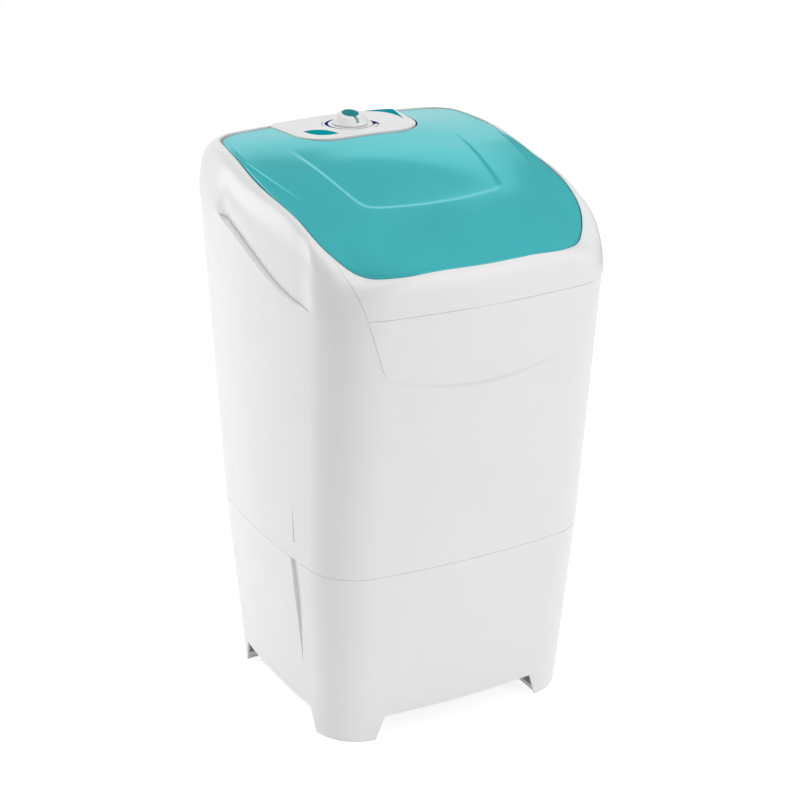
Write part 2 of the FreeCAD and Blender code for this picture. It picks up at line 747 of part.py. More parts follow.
def cover_screws():
    """Pan-head screws up through the cabinet's flange into the cover's bosses."""
    screws = []
    for x, y, z in cover_screw_places():
        shank = rod(2, (x, y, z - 4), (x, y, z + 10))
        screws.append(shank.fuse(rod(3.4, (x, y, z - 6), (x, y, z - 3 - size("soft_gap")))))
    feature("cover_screws", Part.makeCompound(screws))


# Lid

def make_lid():
    skin, skirt = size("lid_skin"), size("lid_skirt")
    y, z, inner = hinge_axis()
    outline = lid_half(0, y)
    inside = lid_half(-skin, y - skin)
    low, tall = size("lip_bottom"), size("lid_rear_height") + 60 - size("lip_bottom")
    block = upright(closed_wire(outline, low), tall)
    hollow = upright(closed_wire(inside, low - 10), tall + 20)
    surface = lid_sheet()
    top = surface.extrude(Vector(0, 0, -skin)).common(block)
    rim = surface.extrude(Vector(0, 0, -skirt)).common(block.cut(hollow))
    width = 2 * size("seam_half_width")
    rim = rim.cut(Part.makeBox(2 * width, 200, tall, Vector(-width, y - 30, low)))
    shape = top.fuse(rim)
    shape = shape.cut(upright(console_wire(size("notch_gap"), low), tall))
    for side in (-1, 1):
        shape = shape.fuse(rod(size("hinge_barrel"), (side * (inner + 6), y, z), (side * HINGE_END, y, z)))
    bore = size("hinge_pin") + size("hinge_clearance")
    for side in (-1, 1):
        shape = shape.cut(rod(bore, (side * (inner + 1), y, z), (side * (inner + 33), y, z)))
    feature("lid", shape.removeSplitter())
    pin = size("hinge_pin")
    pins = [rod(pin, (side * (inner - 20), y, z), (side * (inner + 30), y, z)) for side in (-1, 1)]
    feature("hinge_pins", Part.makeCompound(pins))


def make_bumpers():
    """Soft stops on the front ledge that the closed lid's skirt rests over."""
    stops = []
    half = lid_half(-size("lid_skin") / 2, size("hinge_y"))
    for side in (-1, 1):
        x, y = arc_point(half[0], 0.7)
        ledge = cover_station(0, 0.7)[4] - size("recess_depth")
        around_stop = [lid_height(x + across, y + 1 + along) for across in (-3, 3) for along in (-3, 3)]
        under = min(around_stop) - size("lid_skirt") - size("soft_gap")
        stops.append(rod(3, (side * x, y + 1, ledge + size("soft_gap")), (side * x, y + 1, under)))
    feature("lid_bumpers", Part.makeCompound(stops))


# Control console

def shaft_hole():
    """Clearance for the timer's shaft through the console."""
    top = size("console_top")
    return rod(5, (0, size("knob_y"), top - 20), (0, size("knob_y"), top + 20))


def make_panel():
    top, thick = size("console_top"), size("panel_thick")
    shape = upright(console_wire(0, top - 10), 20).common(crown_block(top + thick)).cut(crown_block(top))
    crowned = max(shape.Faces, key=lambda face: face.CenterOfMass.z)
    shape = shape.makeFillet(2, crowned.Edges)
    feature("control_panel", shape.cut(shaft_hole()))
    feature("timer_box_cover", upright(box_wire(-3, size("console_box_floor")), 2.5))


def make_timer():
    ceiling, knob_y, bore = cell("console_top") - 8, cell("knob_y"), cell("timer_shaft_radius")
    half = 27
    plate("timer_body", [(-half, -half), (half, -half), (half, half), (-half, half)],
          [((0, 0), bore + cell("running_clearance"))], 26, (0, knob_y, ceiling - 26))
    turned("timer_shaft", [(0, 0), (bore, 0), (bore, 45), (0, 45)], (0, knob_y, ceiling - 24))


def face_sketch(body, name):
    """Sketch on the knob's sloping face."""
    sketch = new_sketch(body, name, "XY_Plane")
    slope = cell("knob_face_slope")
    sketch.AttachmentOffset = Placement(Vector(0, 0, 0), Rotation(Vector(1, 0, 0), slope.value))
    sketch.setExpression("AttachmentOffset.Rotation.Angle", slope.text)
    sketch.setExpression("AttachmentOffset.Base.z", cell("knob_face_height").text)
    return sketch


def box_lines(sketch, half, front, rear):
    """Rectangle in a sketch, as wide both ways, between two terms."""
    left = term(0) - half
    closed_lines(sketch, [(left, front), (half, front), (half, rear), (left, rear)])


def keyhole(body, kind, grow):
    """Disc with a tail to the front, let into the knob's sloping face."""
    for part in ("disc", "tail"):
        sketch = face_sketch(body, f"{body.Label}_{part}")
        if part == "disc":
            circle(sketch, (0, 0), cell("cap_radius") + grow)
        else:
            box_lines(sketch, term(2.2) + grow, term(0) - cell("cap_tail") - grow, 0)
        step = body.newObject(f"PartDesign::{kind}", f"{body.Label}_{part}_{kind.lower()}")
        step.Profile = sketch
        step.Reversed = kind == "Pad"
        step.setExpression("Length", cell("cap_thick").text)


def make_knob():
    """Cone cut off by a sloping face, with a keyhole-shaped pointer let into the face."""
    radius, upper, tall = cell("knob_radius"), cell("knob_top_radius"), cell("knob_height")
    bore = cell("timer_shaft_radius")
    at = (0, cell("knob_y"), cell("console_top") + cell("panel_thick") + 0.8)
    knob = turned("timer_knob", [(bore, 0), (radius, 0), (radius, 2.5), (upper, tall), (0, tall), (0, 10),
                                 (bore, 10)], at)
    above = face_sketch(knob, "timer_knob_face")
    box_lines(above, radius + 20, term(0) - radius - 20, radius + 20)
    slice_off = knob.newObject("PartDesign::Pocket", "timer_knob_slice")
    slice_off.Profile = above
    slice_off.Reversed = True
    slice_off.setExpression("Length", (tall * 2).text)
    keyhole(knob, "Pocket", 0.2)
    cap = doc.addObject("PartDesign::Body", "knob_cap")
    keyhole(cap, "Pad", 0)
    place(cap, at)
    PARTS.append(cap)


# Tub

def tub_half(z, inset):
    """Tub outline: nearly square with large corners at the floor, wider at the rim."""
    low, high = size("tub_floor_height"), size("tub_rim_height")
    rim = size("tub_rim_inset")
    share = (z - low) / (high - low)

    def between(start, end):
        return start + (end - start) * share - inset

    top_width = size("seam_half_width") - rim
    top_depth = size("seam_half_depth") - rim - 3
    width = between(size("tub_low_half_width"), top_width)
    depth = between(size("tub_low_half_depth"), top_depth)
    corner = between(110, 75)
    bulges = (1300 - inset, 1260 - inset, 1300 - inset)
    return half_outline(width, depth, depth, 0, bulges, (corner, corner))


def tub_block(z_low, z_high, inset):
    wires = [closed_wire(tub_half(z, inset), z) for z in (z_low, z_high)]
    return Part.makeLoft(wires, True, True)


def post_places():
    """Posts under the tub that carry the motor bracket."""
    return [(-112, -30), (112, -30), (-104, 192), (104, 192)]


def make_tub():
    low, high = size("tub_floor_height"), size("tub_rim_height")
    wall, floor = size("tub_wall"), size("tub_floor_wall")
    shape = tub_block(low, high + 3, 0).cut(tub_block(low + floor, high + 4, wall))
    flange = body_block(high, high + 3, size("body_wall") + 12).cut(tub_block(high - 1, high + 4, wall - 1))
    shape = shape.fuse(flange)
    for x, y in post_places():
        shape = shape.fuse(rod(9, (x, y, size("bracket_height") + 4), (x, y, low + 1)))
    for x, y in post_places():
        bottom = size("bracket_height") + 4
        shape = shape.cut(rod(2.5, (x, y, bottom - 1), (x, y, bottom + 16)))
    shape = shape.cut(rod(20, (0, 0, low - 1), (0, 0, low + floor + 1)))
    drain = (size("drain_x"), size("drain_y"))
    shape = shape.cut(rod(size("drain_bore"), (*drain, low - 1), (*drain, low + floor + 1)))
    feature("wash_tub", shape.removeSplitter())


def filter_place():
    """Front face of the lint filter, set in from the tub's rear wall at the filter's foot."""
    return arc_point(tub_half(size("filter_bottom"), 0)[4], 1)[1] - size("filter_set_in")


def make_filter():
    """Lint filter frame in a short upright runner on the tub's rear wall."""
    half, low, tall = size("filter_half_width"), size("filter_bottom"), size("filter_height")
    y = filter_place()
    gap, thick = size("soft_gap"), 8
    inside = tub_block(size("tub_floor_height") + 5, size("tub_rim_height"), size("tub_wall"))
    runner = Part.makeBox(2 * half + 16, 60, 62, Vector(-half - 8, y - 4, low - 4)).common(inside)
    slot = Part.makeBox(2 * (half + gap), thick + 2 * gap, 70, Vector(-half - gap, y - gap, low))
    window = Part.makeBox(2 * (half - 8), 20, 80, Vector(-half + 8, y - 12, low - 10))
    feature("filter_runner", runner.cut(slot).cut(window))
    frame = Part.makeBox(2 * half, thick, tall, Vector(-half, y, low + gap))
    count = 6
    pitch = (2 * half - 14) / count
    for index in range(count):
        frame = frame.cut(Part.makeBox(pitch - 3, thick + 2, tall - 24,
                                       Vector(-half + 8.5 + index * pitch, y - 1, low + 12)))
    feature("lint_filter", frame)


# Agitator and its bearing

def make_agitator():
    low = cell("tub_floor_height")
    shaft, bush = cell("shaft_radius"), cell("bush_radius")
    run = cell("running_clearance")
    radius = cell("agitator_radius")
    body = turned("agitator", [(shaft, 0), (24, 0), (24, 3), (radius - 6, 0), (radius, 2), (radius - 4, 6),
                               (60, 16), (34, 40), (14, 46), (14, 40), (4, 40), (4, 22), (shaft, 22)],
                  (0, 0, low + 9))
    fin = new_sketch(body, "agitator_fin", "XZ_Plane")
    closed_lines(fin, [(26, 8), (radius - 10, 4), (radius - 22, 14), (70, 26), (30, 40)])
    pad = body.newObject("PartDesign::Pad", "agitator_fin_pad")
    pad.Profile = fin
    pad.Length = 9
    pad.Midplane = True
    turns = body.newObject("PartDesign::PolarPattern", "agitator_fins")
    turns.Originals = [pad]
    axis = [item for item in body.Origin.OriginFeatures if item.Role == "Z_Axis"][0]
    turns.Axis = (axis, [""])
    turns.Angle = 360
    turns.Occurrences = 4
    body.Tip = turns
    turned("agitator_screw", [(0, 0), (4, 0), (4, 24), (9, 24), (9, 27), (6, 30), (0, 30)], (0, 0, low + 25))
    bottom = cell("pulley_height") - 14
    tall = low + 31 - bottom
    turned("agitator_shaft", [(0, 0), (shaft, 0), (shaft, tall), (4, tall), (4, tall - 16), (0, tall - 16)],
           (0, 0, bottom))
    turned("bearing_housing", [(bush, 0), (24, 0), (24, 50), (58, 50), (58, 58), (19.5, 58), (19.5, 65),
                               (15, 65), (15, 57), (bush, 57)], (0, 0, low - 58))
    turned("shaft_seal", [(shaft + cell("soft_gap"), 0), (15, 0), (15, 8), (shaft + cell("soft_gap"), 8)],
           (0, 0, low - 1))
    bushes = []
    ring = Part.makeCylinder(bush.value, 18).cut(Part.makeCylinder(shaft.value + run.value, 18))
    for drop in (56, 21):
        bushes.append(ring.translated(Vector(0, 0, low.value - drop)))
    feature("shaft_bushes", Part.makeCompound(bushes))
    screws = []
    for turn in (45, 135, 225, 315):
        x, y = 46 * math.cos(math.radians(turn)), 46 * math.sin(math.radians(turn))
        screws.append(rod(4.5, (x, y, low.value - 11), (x, y, low.value - 8)))
    feature("housing_screws", Part.makeCompound(screws))


# Belt drive and motor

def groove_profile(bore, root, flange, hub):
    """Pulley section: hub bore, rim and a groove with sloping sides."""
    return [(bore, -4), (hub, -4), (hub, 0), (flange, 0), (flange, 3), (root, 7), (root, 15), (flange, 19),
            (flange, 22), (hub, 22), (hub, 26), (bore, 26)]


def make_drive():
    level = cell("pulley_height")
    shaft, motor_shaft = cell("shaft_radius"), cell("motor_shaft_radius")
    drive, small = cell("drive_groove"), cell("motor_groove")
    motor_y = cell("motor_y")
    turned("drive_pulley", groove_profile(shaft, drive, drive + 8, shaft + 12), (0, 0, level))
    turned("motor_pulley", groove_profile(motor_shaft, small, small + 8, motor_shaft + 6),
           (0, motor_y, level))
    plate("pulley_nut", six_round(13), [((0, 0), shaft)], 9, (0, 0, level - 13))
    belt(drive.value + size("soft_gap"), small.value + size("soft_gap"), motor_y.value, level.value + 7.6)


def belt_wire(large, little, apart, z):
    """Loop round two circles with straight runs between them."""
    lean = math.asin((large - little) / apart)
    side = Vector(math.cos(lean), math.sin(lean), 0)
    front, rear = Vector(0, 0, z), Vector(0, apart, z)
    other = Vector(-side.x, side.y, 0)
    edges = [Part.Arc(front + side * large, front + Vector(0, -large, 0), front + other * large).toShape(),
             Part.LineSegment(front + other * large, rear + other * little).toShape(),
             Part.Arc(rear + other * little, rear + Vector(0, little, 0), rear + side * little).toShape(),
             Part.LineSegment(rear + side * little, front + side * large).toShape()]
    return Part.Wire(edges)


def belt(large, little, apart, z):
    thick = size("belt_thick")
    outer = upright(belt_wire(large + thick, little + thick, apart, z), 6.8)
    inner = upright(belt_wire(large, little, apart, z), 6.8)
    feature("drive_belt", outer.cut(inner))


def motor_bolt_places():
    """Four bolts on a circle round the motor's shaft."""
    ring = size("motor_radius") + 8
    return [(ring * math.cos(math.radians(turn)), size("motor_y") + ring * math.sin(math.radians(turn)))
            for turn in (45, 135, 225, 315)]


def make_motor():
    radius, shaft = cell("motor_radius"), cell("motor_shaft_radius")
    bore = shaft + cell("running_clearance")
    level = cell("bracket_height")
    middle = cell("motor_y")
    turned("motor_top_shield", [(bore, 0), (radius, 0), (radius, 7), (radius + 16, 7), (radius + 16, 13),
                                (14, 13), (14, 25), (bore, 25)], (0, middle, level - 19))
    turned("motor_stator", [(36.6, 0), (radius, 0), (radius, 72), (36.6, 72)], (0, middle, level - 91))
    turned("motor_end_shield", [(bore, 0), (14, 0), (14, 6), (radius - 4, 6), (radius, 10), (radius, 17),
                                (bore, 17)], (0, middle, level - 108))
    turned("rotor_core", [(shaft, 0), (36, 0), (36, 58), (shaft, 58)], (0, middle, level - 84))
    tall = cell("pulley_height") + 28 - (level - 112)
    turned("motor_shaft", [(0, 0), (shaft, 0), (shaft, tall), (0, tall)], (0, middle, level - 112))
    holes = [((0, middle), 18), ((0, 0), 36)]
    holes += [((x, y), 4.5) for x, y in motor_bolt_places()]
    holes += [((x, y), 3) for x, y in post_places()]
    plate("motor_bracket", [(-124, -44), (124, -44), (116, 208), (-116, 208)], holes, 4, (0, 0, level))
    grommets, bolts = [], []
    for x, y in motor_bolt_places():
        z = level.value
        grommets.append(rod(8, (x, y, z - 6), (x, y, z)).cut(rod(3, (x, y, z - 7), (x, y, z + 1))))
        bolt = rod(3, (x, y, z - 6), (x, y, z + 12)).fuse(rod(5.5, (x, y, z + 4), (x, y, z + 9)))
        bolts.append(bolt)
    feature("motor_grommets", Part.makeCompound(grommets))
    feature("motor_bolts", Part.makeCompound(bolts))
    screws = []
    for x, y in post_places():
        z = level.value
        screws.append(rod(2.5, (x, y, z), (x, y, z + 18)).fuse(rod(6, (x, y, z - 3), (x, y, z))))
    feature("bracket_screws", Part.makeCompound(screws))
    turned("run_capacitor", [(0, 0), (20, 0), (20, 74), (0, 74)], (92, 52, level - 74))
    turned("capacitor_clip", [(20, 0), (22, 0), (22, 20), (20, 20)], (92, 52, level - 20))


# Drain, cord inlet and rear screws

def make_drain():
    x, y, z = size("drain_x"), size("drain_y"), size("drain_height")
    radius, low = size("drain_radius"), size("tub_floor_height")
    start, end = size("spigot_start"), size("spigot_end")
    outer = rod(radius, (x, y, z), (x, y, low)).fuse([rod(radius, (x, y, z), (x, start, z)),
                                                      rod(size("spigot_radius"), (x, start, z), (x, end, z)),
                                                      Part.makeSphere(radius, Vector(x, y, z)),
                                                      rod(radius + 9, (x, y, low - 3), (x, y, low))])
    bore = size("drain_bore")
    inner = rod(bore, (x, y, z), (x, y, low + 1)).fuse([rod(bore, (x, y, z), (x, end + 1, z)),
                                                        Part.makeSphere(bore, Vector(x, y, z))])
    feature("drain_elbow", outer.cut(inner))
    ring = [((0, 0), 3)] + [(centre, 2.4) for centre in six_round(8)]
    plate("drain_grate", cell("drain_radius") + 9, ring, 3,
          (cell("drain_x"), cell("drain_y"), cell("tub_floor_height") + cell("tub_floor_wall")))


def make_rear_fittings():
    half = body_half(200, 0)
    centre, radius = half[4][0], half[4][1]
    face = centre[1] + math.sqrt(radius ** 2 - 120 ** 2)
    bore = size("gland_radius")
    neck = rod(bore, (-120, face - 14, 200), (-120, face + 3, 200))
    gland = neck.fuse(rod(bore + 4, (-120, face + 2.2, 200), (-120, face + 5, 200)))
    feature("cord_gland", gland.cut(rod(4.5, (-120, face - 20, 200), (-120, face + 9, 200))))
    screws = []
    z = size("base_seam_height") + 3.5
    for x, y in rear_screw_places():
        screws.append(rod(2.5, (x, y - 9, z), (x, y + 2, z)).fuse(rod(4.5, (x, y + 1.2, z), (x, y + 3.6, z))))
    feature("base_screws", Part.makeCompound(screws))


make_base()
make_cabinet()
make_cover()
cover_screws()
make_lid()
make_bumpers()
make_panel()
make_timer()
make_knob()
make_tub()
make_filter()
make_agitator()
make_drive()
make_motor()
make_drain()
make_rear_fittings()

doc.recompute()
for obj in doc.Objects:
    if "Invalid" in obj.State or "Error" in obj.State:
        raise RuntimeError(f"{obj.Label} failed: {obj.State}")
os.makedirs("parts", exist_ok=True)
for obj in PARTS:
    if obj.Shape.isNull() or not obj.Shape.isValid():
        raise RuntimeError(f"{obj.Label} has no valid shape")
    obj.Shape.exportStep(f"parts/{obj.Label}.step")
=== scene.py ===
import json
import math

import bpy
import numpy as np
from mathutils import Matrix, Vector


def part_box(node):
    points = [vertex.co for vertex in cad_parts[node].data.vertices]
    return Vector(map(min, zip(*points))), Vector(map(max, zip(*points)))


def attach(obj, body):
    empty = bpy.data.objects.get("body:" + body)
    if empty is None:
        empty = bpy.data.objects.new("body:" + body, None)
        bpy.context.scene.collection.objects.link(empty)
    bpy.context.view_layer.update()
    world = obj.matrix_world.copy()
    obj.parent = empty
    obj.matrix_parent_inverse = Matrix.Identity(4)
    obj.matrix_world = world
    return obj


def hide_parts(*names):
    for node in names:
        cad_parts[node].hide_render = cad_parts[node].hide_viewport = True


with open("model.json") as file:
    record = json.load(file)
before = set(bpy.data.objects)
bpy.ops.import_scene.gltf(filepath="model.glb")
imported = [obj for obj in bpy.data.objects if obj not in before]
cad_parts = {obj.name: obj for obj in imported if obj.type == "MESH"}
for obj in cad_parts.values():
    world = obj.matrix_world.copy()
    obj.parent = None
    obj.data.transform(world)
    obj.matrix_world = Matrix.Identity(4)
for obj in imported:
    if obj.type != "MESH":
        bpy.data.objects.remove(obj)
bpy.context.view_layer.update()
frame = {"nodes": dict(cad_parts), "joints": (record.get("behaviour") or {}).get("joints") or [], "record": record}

bl_info = {
    "name": "Washing machine looks",
    "version": (1, 0, 0),
    "blender": (4, 5, 0),
    "location": "View3D > Sidebar > Washer",
    "description": "Dresses a single-tub washing machine: lid, console print, knob, finishes and studio",
    "category": "Object",
}

# Lengths in the formulas below are millimetres; meshes and properties are in metres.
MM = 0.001
LID_LOW, LID_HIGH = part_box("lid")
PANEL_LOW, PANEL_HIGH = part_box("control_panel")
KNOB_LOW, KNOB_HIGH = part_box("timer_knob")
HINGE, KNOB_AXIS = (next(joint["pos_m"] for joint in frame["joints"] if joint["name"] == name)
                    for name in ("lid_hinge", "knob_turn"))
# Middle of the knob's foot, and the height above it where the knob's domed side ends, in millimetres
KNOB_FOOT = np.array([KNOB_AXIS[0] / MM, KNOB_AXIS[1] / MM, KNOB_LOW.z / MM])
KNOB_RIM = 2.5
# Points of a piece that are closer than this become one, in metres
MERGE_DISTANCE = 2e-6
WHITE = (1, 1, 1, 1)
BLACK = (0, 0, 0, 1)
# Fitted focal length of the camera and width of the image, in pixels
FOCAL_PIXELS, IMAGE_PIXELS = 1975.05, 800
# Brightness of the floor to rays that see it, and to the rest as soft light from below
FLOOR_GLOW, FLOOR_BOUNCE = 0.72, 0.2
# Brightness of the surfaces that are there only for reflections
DIM_GLOW, STRIP_GLOW = 0.15, 2.2
# Place and size in metres and power in watts of each lamp; all face the machine's middle
LAMP_AIM = (0, 0, 0.5)
LAMPS = {
    "left_light": ((-2.0, 2.0, 1.4), (1.6, 2.2), 33),
    "right_light": ((1.1, -2.75, 1.6), (1.6, 2.0), 24),
    "top_light": ((0.2, -0.5, 3.0), (2.4, 2.4), 31),
}


def length(name, description, metres):
    """Length property in metres."""
    return bpy.props.FloatProperty(name=name, description=description, default=metres,
                                   unit="LENGTH", precision=4)


def angle(name, description, degrees):
    """Angle property, given in degrees."""
    return bpy.props.FloatProperty(name=name, description=description, default=math.radians(degrees),
                                   subtype="ANGLE")


def tint(name, description, colour):
    """Colour property given as screen values from 0 to 255, made linear by the usual screen curve."""
    linear = [((c / 255 + 0.055) / 1.055) ** 2.4 if c > 10 else c / 255 / 12.92 for c in colour]
    return bpy.props.FloatVectorProperty(name=name, description=description, default=linear, size=3,
                                         subtype="COLOR", min=0, max=1)


class WasherLidSizes(bpy.types.PropertyGroup):
    """Sizes of the hinged lid."""
    half_width: length("Half width", "Widest point of the lid from the centre line", LID_HIGH.x)
    front: length("Front", "Distance of the front edge in front of the middle", -LID_LOW.y)
    rear_height: length("Rear height", "Height of the top surface at the hinge, without its crown", 0.902)
    front_height: length("Front height", "Height of the front edge", 0.803)
    arc: length("Arc radius", "Radius of the long arc from the hinge to the front", 1.311)
    crown: length("Crown", "How far the lid bulges up across its width in front of the console", 0.012)
    rim_crown: length("Rim crown", "How far it bulges up at the hinge", 0.007)
    edge_drop: length("Edge drop", "How far the side edges roll down outside the crease", 0.0012)
    edge_width: length("Edge width", "Width of the rolled side edge", 0.0145)
    skin: length("Skin", "Wall thickness", 0.0026)
    skirt: length("Skirt", "Depth of the skirt round the rim", 0.015)
    notch_gap: length("Notch gap", "Gap between the lid and the console", 0.003)
    recess_depth: length("Recess depth", "Depth of the sunk middle panel", 0.0018)
    barrel: length("Barrel radius", "Outer radius of the hinge barrels", 0.005)
    barrel_bore: length("Barrel bore", "Radius of the bore for the hinge pins", 0.00206)


class WasherConsoleSizes(bpy.types.PropertyGroup):
    """Sizes of the console's print and of the timer knob."""
    crown: length("Crown radius", "Radius of the panel's crowned top", 2.0)
    dial_radius: length("Dial radius", "Middle radius of the printed dial ring", 0.037)
    dial_line: length("Dial line", "Thinnest width of the dial ring", 0.0018)
    dial_swell: length("Dial swell", "Extra width of the dial ring at its left end", 0.0042)
    print_lift: length("Print lift", "How far print stands proud of the panel", 0.00012)
    knob_radius: length("Knob radius", "Radius of the knob at its foot", KNOB_HIGH.x - 0.001)
    knob_neck: length("Knob neck", "Radius at which the knob's side starts to fall", 0.0125)
    knob_height: length("Knob height", "Height of the domed side without the face", 0.021)
    knob_face: length("Face height", "Height of the sloping face on the axis", 0.0162)
    knob_slope: angle("Face slope", "Slope of the knob's face down to the front", 10.5)
    pointer_radius: length("Pointer radius", "Radius of the pointer's disc", 0.0138)
    pointer_tail: length("Pointer tail", "Reach of the pointer's tail from the axis", 0.0275)


class WasherColours(bpy.types.PropertyGroup):
    """Colours of the finishes."""
    shell: tint("Shell white", "Cabinet, base and cover", (241, 241, 241))
    panel: tint("Panel white", "Control panel and knob", (238, 238, 237))
    lid: tint("Lid teal", "Lid", (80, 203, 209))
    leaf: tint("Leaf teal", "Printed leaves", (6, 152, 166))
    pointer: tint("Pointer teal", "Pointer on the knob", (8, 128, 134))
    ink: tint("Dial ink", "Printed dial", (24, 34, 122))
    tub: tint("Tub", "Tub and its fittings", (232, 235, 235))
    agitator: tint("Agitator", "Agitator", (236, 239, 239))


class WasherStage(bpy.types.PropertyGroup):
    """Camera, reflected surfaces and light."""
    azimuth: angle("Camera azimuth", "Turn of the camera from the front", -28.63)
    elevation: angle("Camera elevation", "Camera above the horizon", 22.14)
    distance: length("Camera distance", "Camera from the aim point", 3.2023)
    aim: bpy.props.FloatVectorProperty(name="Aim", description="Point that the camera looks at",
                                       default=(0, -0.0068, 0.4907), subtype="XYZ", unit="LENGTH")
    focal_share: bpy.props.FloatProperty(name="Focal share", description="Focal length over image width",
                                         default=FOCAL_PIXELS / IMAGE_PIXELS)
    flag_edge: length("Flag edge", "Far edge of the dim ceiling behind the machine", 1.45)
    flag_height: length("Flag height", "Height of the dim ceiling", 2.0)
    wall_start: length("Wall start", "Left end of the dim wall at the right, from the view line", 0.5)
    wall_reach: length("Wall reach", "Dim wall behind the machine along the view line", 2.2)
    ambient: bpy.props.FloatProperty(name="Ambient", description="Strength of the surrounding light",
                                     default=0.32)


# Meshes from whole arrays

def ease(t):
    """Smooth step from 0 to 1."""
    t = np.clip(t, 0.0, 1.0)
    return t * t * (3 - 2 * t)


def soft_min(a, b, width):
    """Smaller of two arrays with a rounded changeover."""
    return -width * np.logaddexp(-a / width, -b / width)


def grid_faces(rows, columns, wrap_rows=False, wrap_columns=False):
    """Quads between neighbouring grid points, wrapped round where asked."""
    i = np.arange(rows if wrap_rows else rows - 1)[:, None]
    j = np.arange(columns if wrap_columns else columns - 1)[None, :]
    i, j = np.broadcast_arrays(i, j)
    after_i, after_j = (i + 1) % rows, (j + 1) % columns
    quads = np.stack([i * columns + j, after_i * columns + j,
                      after_i * columns + after_j, i * columns + after_j], -1)
    return quads.reshape(-1, 4)


def outward(points, quads):
    """Quads of a closed surface, turned round if its signed volume is negative."""
    a, b, c, d = (points[quads[:, corner]] for corner in range(4))
    volume = (np.cross(a, b) * c).sum() + (np.cross(a, c) * d).sum()
    return quads if volume > 0 else quads[:, ::-1]


def grid_piece(name, grids, body, sharp=40):
    """Object from (points, wrap rows, wrap columns) grids in millimetres.

    Doubles are merged, and a quad that loses a corner by it becomes a triangle, so poles and seams close.
    """
    points, faces, start = [], [], 0
    for grid, wrap_rows, wrap_columns in grids:
        rows, columns = grid.shape[:2]
        points.append(grid.reshape(-1, 3))
        faces.append(outward(points[-1], grid_faces(rows, columns, wrap_rows, wrap_columns)) + start)
        start += rows * columns
    points, faces = np.concatenate(points) * MM, np.concatenate(faces)
    keys = np.round(points / MERGE_DISTANCE).astype(np.int64)
    _, first, same = np.unique(keys, axis=0, return_index=True, return_inverse=True)
    points, faces = points[first], same.reshape(-1)[faces]
    loops = np.where(faces != np.roll(faces, 1, axis=1), faces, -1)
    corners = (loops >= 0).sum(axis=1)
    kept = corners >= 3
    loops, corners = loops[kept], corners[kept]
    mesh = bpy.data.meshes.new(name)
    mesh.vertices.add(len(points))
    mesh.vertices.foreach_set("co", points.astype(np.float32).ravel())
    mesh.loops.add(int(corners.sum()))
    mesh.loops.foreach_set("vertex_index", loops[loops >= 0].astype(np.int32))
    mesh.polygons.add(len(corners))
    mesh.polygons.foreach_set("loop_start", np.concatenate([[0], np.cumsum(corners)[:-1]]).astype(np.int32))
    mesh.polygons.foreach_set("use_smooth", np.ones(len(corners), bool))
    mesh.update(calc_edges=True)
    mesh.validate()
    mesh.set_sharp_from_angle(angle=math.radians(sharp))
    piece = bpy.data.objects.new(name, mesh)
    bpy.context.scene.collection.objects.link(piece)
    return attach(piece, body)


def spaced(path, count):
    """Path resampled to points evenly far apart."""
    steps = np.hypot(*np.diff(path, axis=0).T)
    reach = np.concatenate([[0], np.cumsum(steps)])
    at = np.linspace(0, reach[-1], count)
    return np.stack([np.interp(at, reach, path[:, k]) for k in (0, 1)], -1)


def arc_run(centre, radius, start, end, count=60):
    """Plan points on an arc; angles run from 0 at the front through 90 at the left."""
    turn = np.linspace(start, end, count)
    return np.stack([centre[0] - radius * np.sin(turn), centre[1] - radius * np.cos(turn)], -1)


def meeting(first, first_radius, second, second_radius):
    """Left-hand crossing of two circles."""
    gap = np.subtract(second, first)
    apart = np.hypot(*gap)
    along = (first_radius ** 2 - second_radius ** 2 + apart ** 2) / (2 * apart)
    off = math.sqrt(first_radius ** 2 - along ** 2)
    base = np.add(first, gap * along / apart)
    side = np.array([gap[1], -gap[0]]) * off / apart
    return min((base + side, base - side), key=lambda point: point[0])


def bearing(start, end):
    """Direction between plan points: 0 at the front, 90 at the left, 180 at the rear."""
    return math.atan2(start[0] - end[0], start[1] - end[1])


# Lid

def lid_edge(lid, count):
    """Outer edge of the lid's left half from the rear corner to the front middle: four tangent arcs."""
    width, front, rear = lid.half_width / MM, lid.front / MM, HINGE[1] / MM
    bow, flank, corner, rear_corner = 1300, 1190, 130, 45
    widest = -17
    front_centre, side_centre = (0, bow - front), (flank - width, widest)
    near = meeting(front_centre, bow - corner, side_centre, flank - corner)
    far_y = rear - rear_corner
    far_x = side_centre[0] - math.sqrt((flank - rear_corner) ** 2 - (far_y - side_centre[1]) ** 2)
    far = (far_x, far_y)
    runs = [arc_run(far, rear_corner, math.pi, bearing(side_centre, far)),
            arc_run(side_centre, flank, bearing(side_centre, far), bearing(side_centre, near)),
            arc_run(near, corner, bearing(side_centre, near), bearing(front_centre, near)),
            arc_run(front_centre, bow, bearing(front_centre, near), 0)]
    return spaced(np.concatenate(runs), count)


def lid_notch(lid, start, count):
    """Rear edge of the lid's left half: along the hinge, then round the console to its front middle."""
    gap, rear = lid.notch_gap / MM, HINGE[1] / MM
    panel_half, panel_corner = 103, 60
    front = PANEL_LOW.y / MM - gap
    lean = (PANEL_HIGH.x / MM - panel_half) / (PANEL_HIGH.y - PANEL_LOW.y) * MM
    tilt = math.atan(lean)
    corner = panel_corner + gap

    def flank(y):
        return -(panel_half + (y - PANEL_LOW.y / MM) * lean + gap / math.cos(tilt))

    centre = (flank(front + corner) + corner / math.cos(tilt), front + corner)
    turn = arc_run(centre, corner, math.pi / 2 - tilt, 0)
    run = np.concatenate([[start, (flank(rear), rear)], turn, [(0, front)]])
    return spaced(run, count)


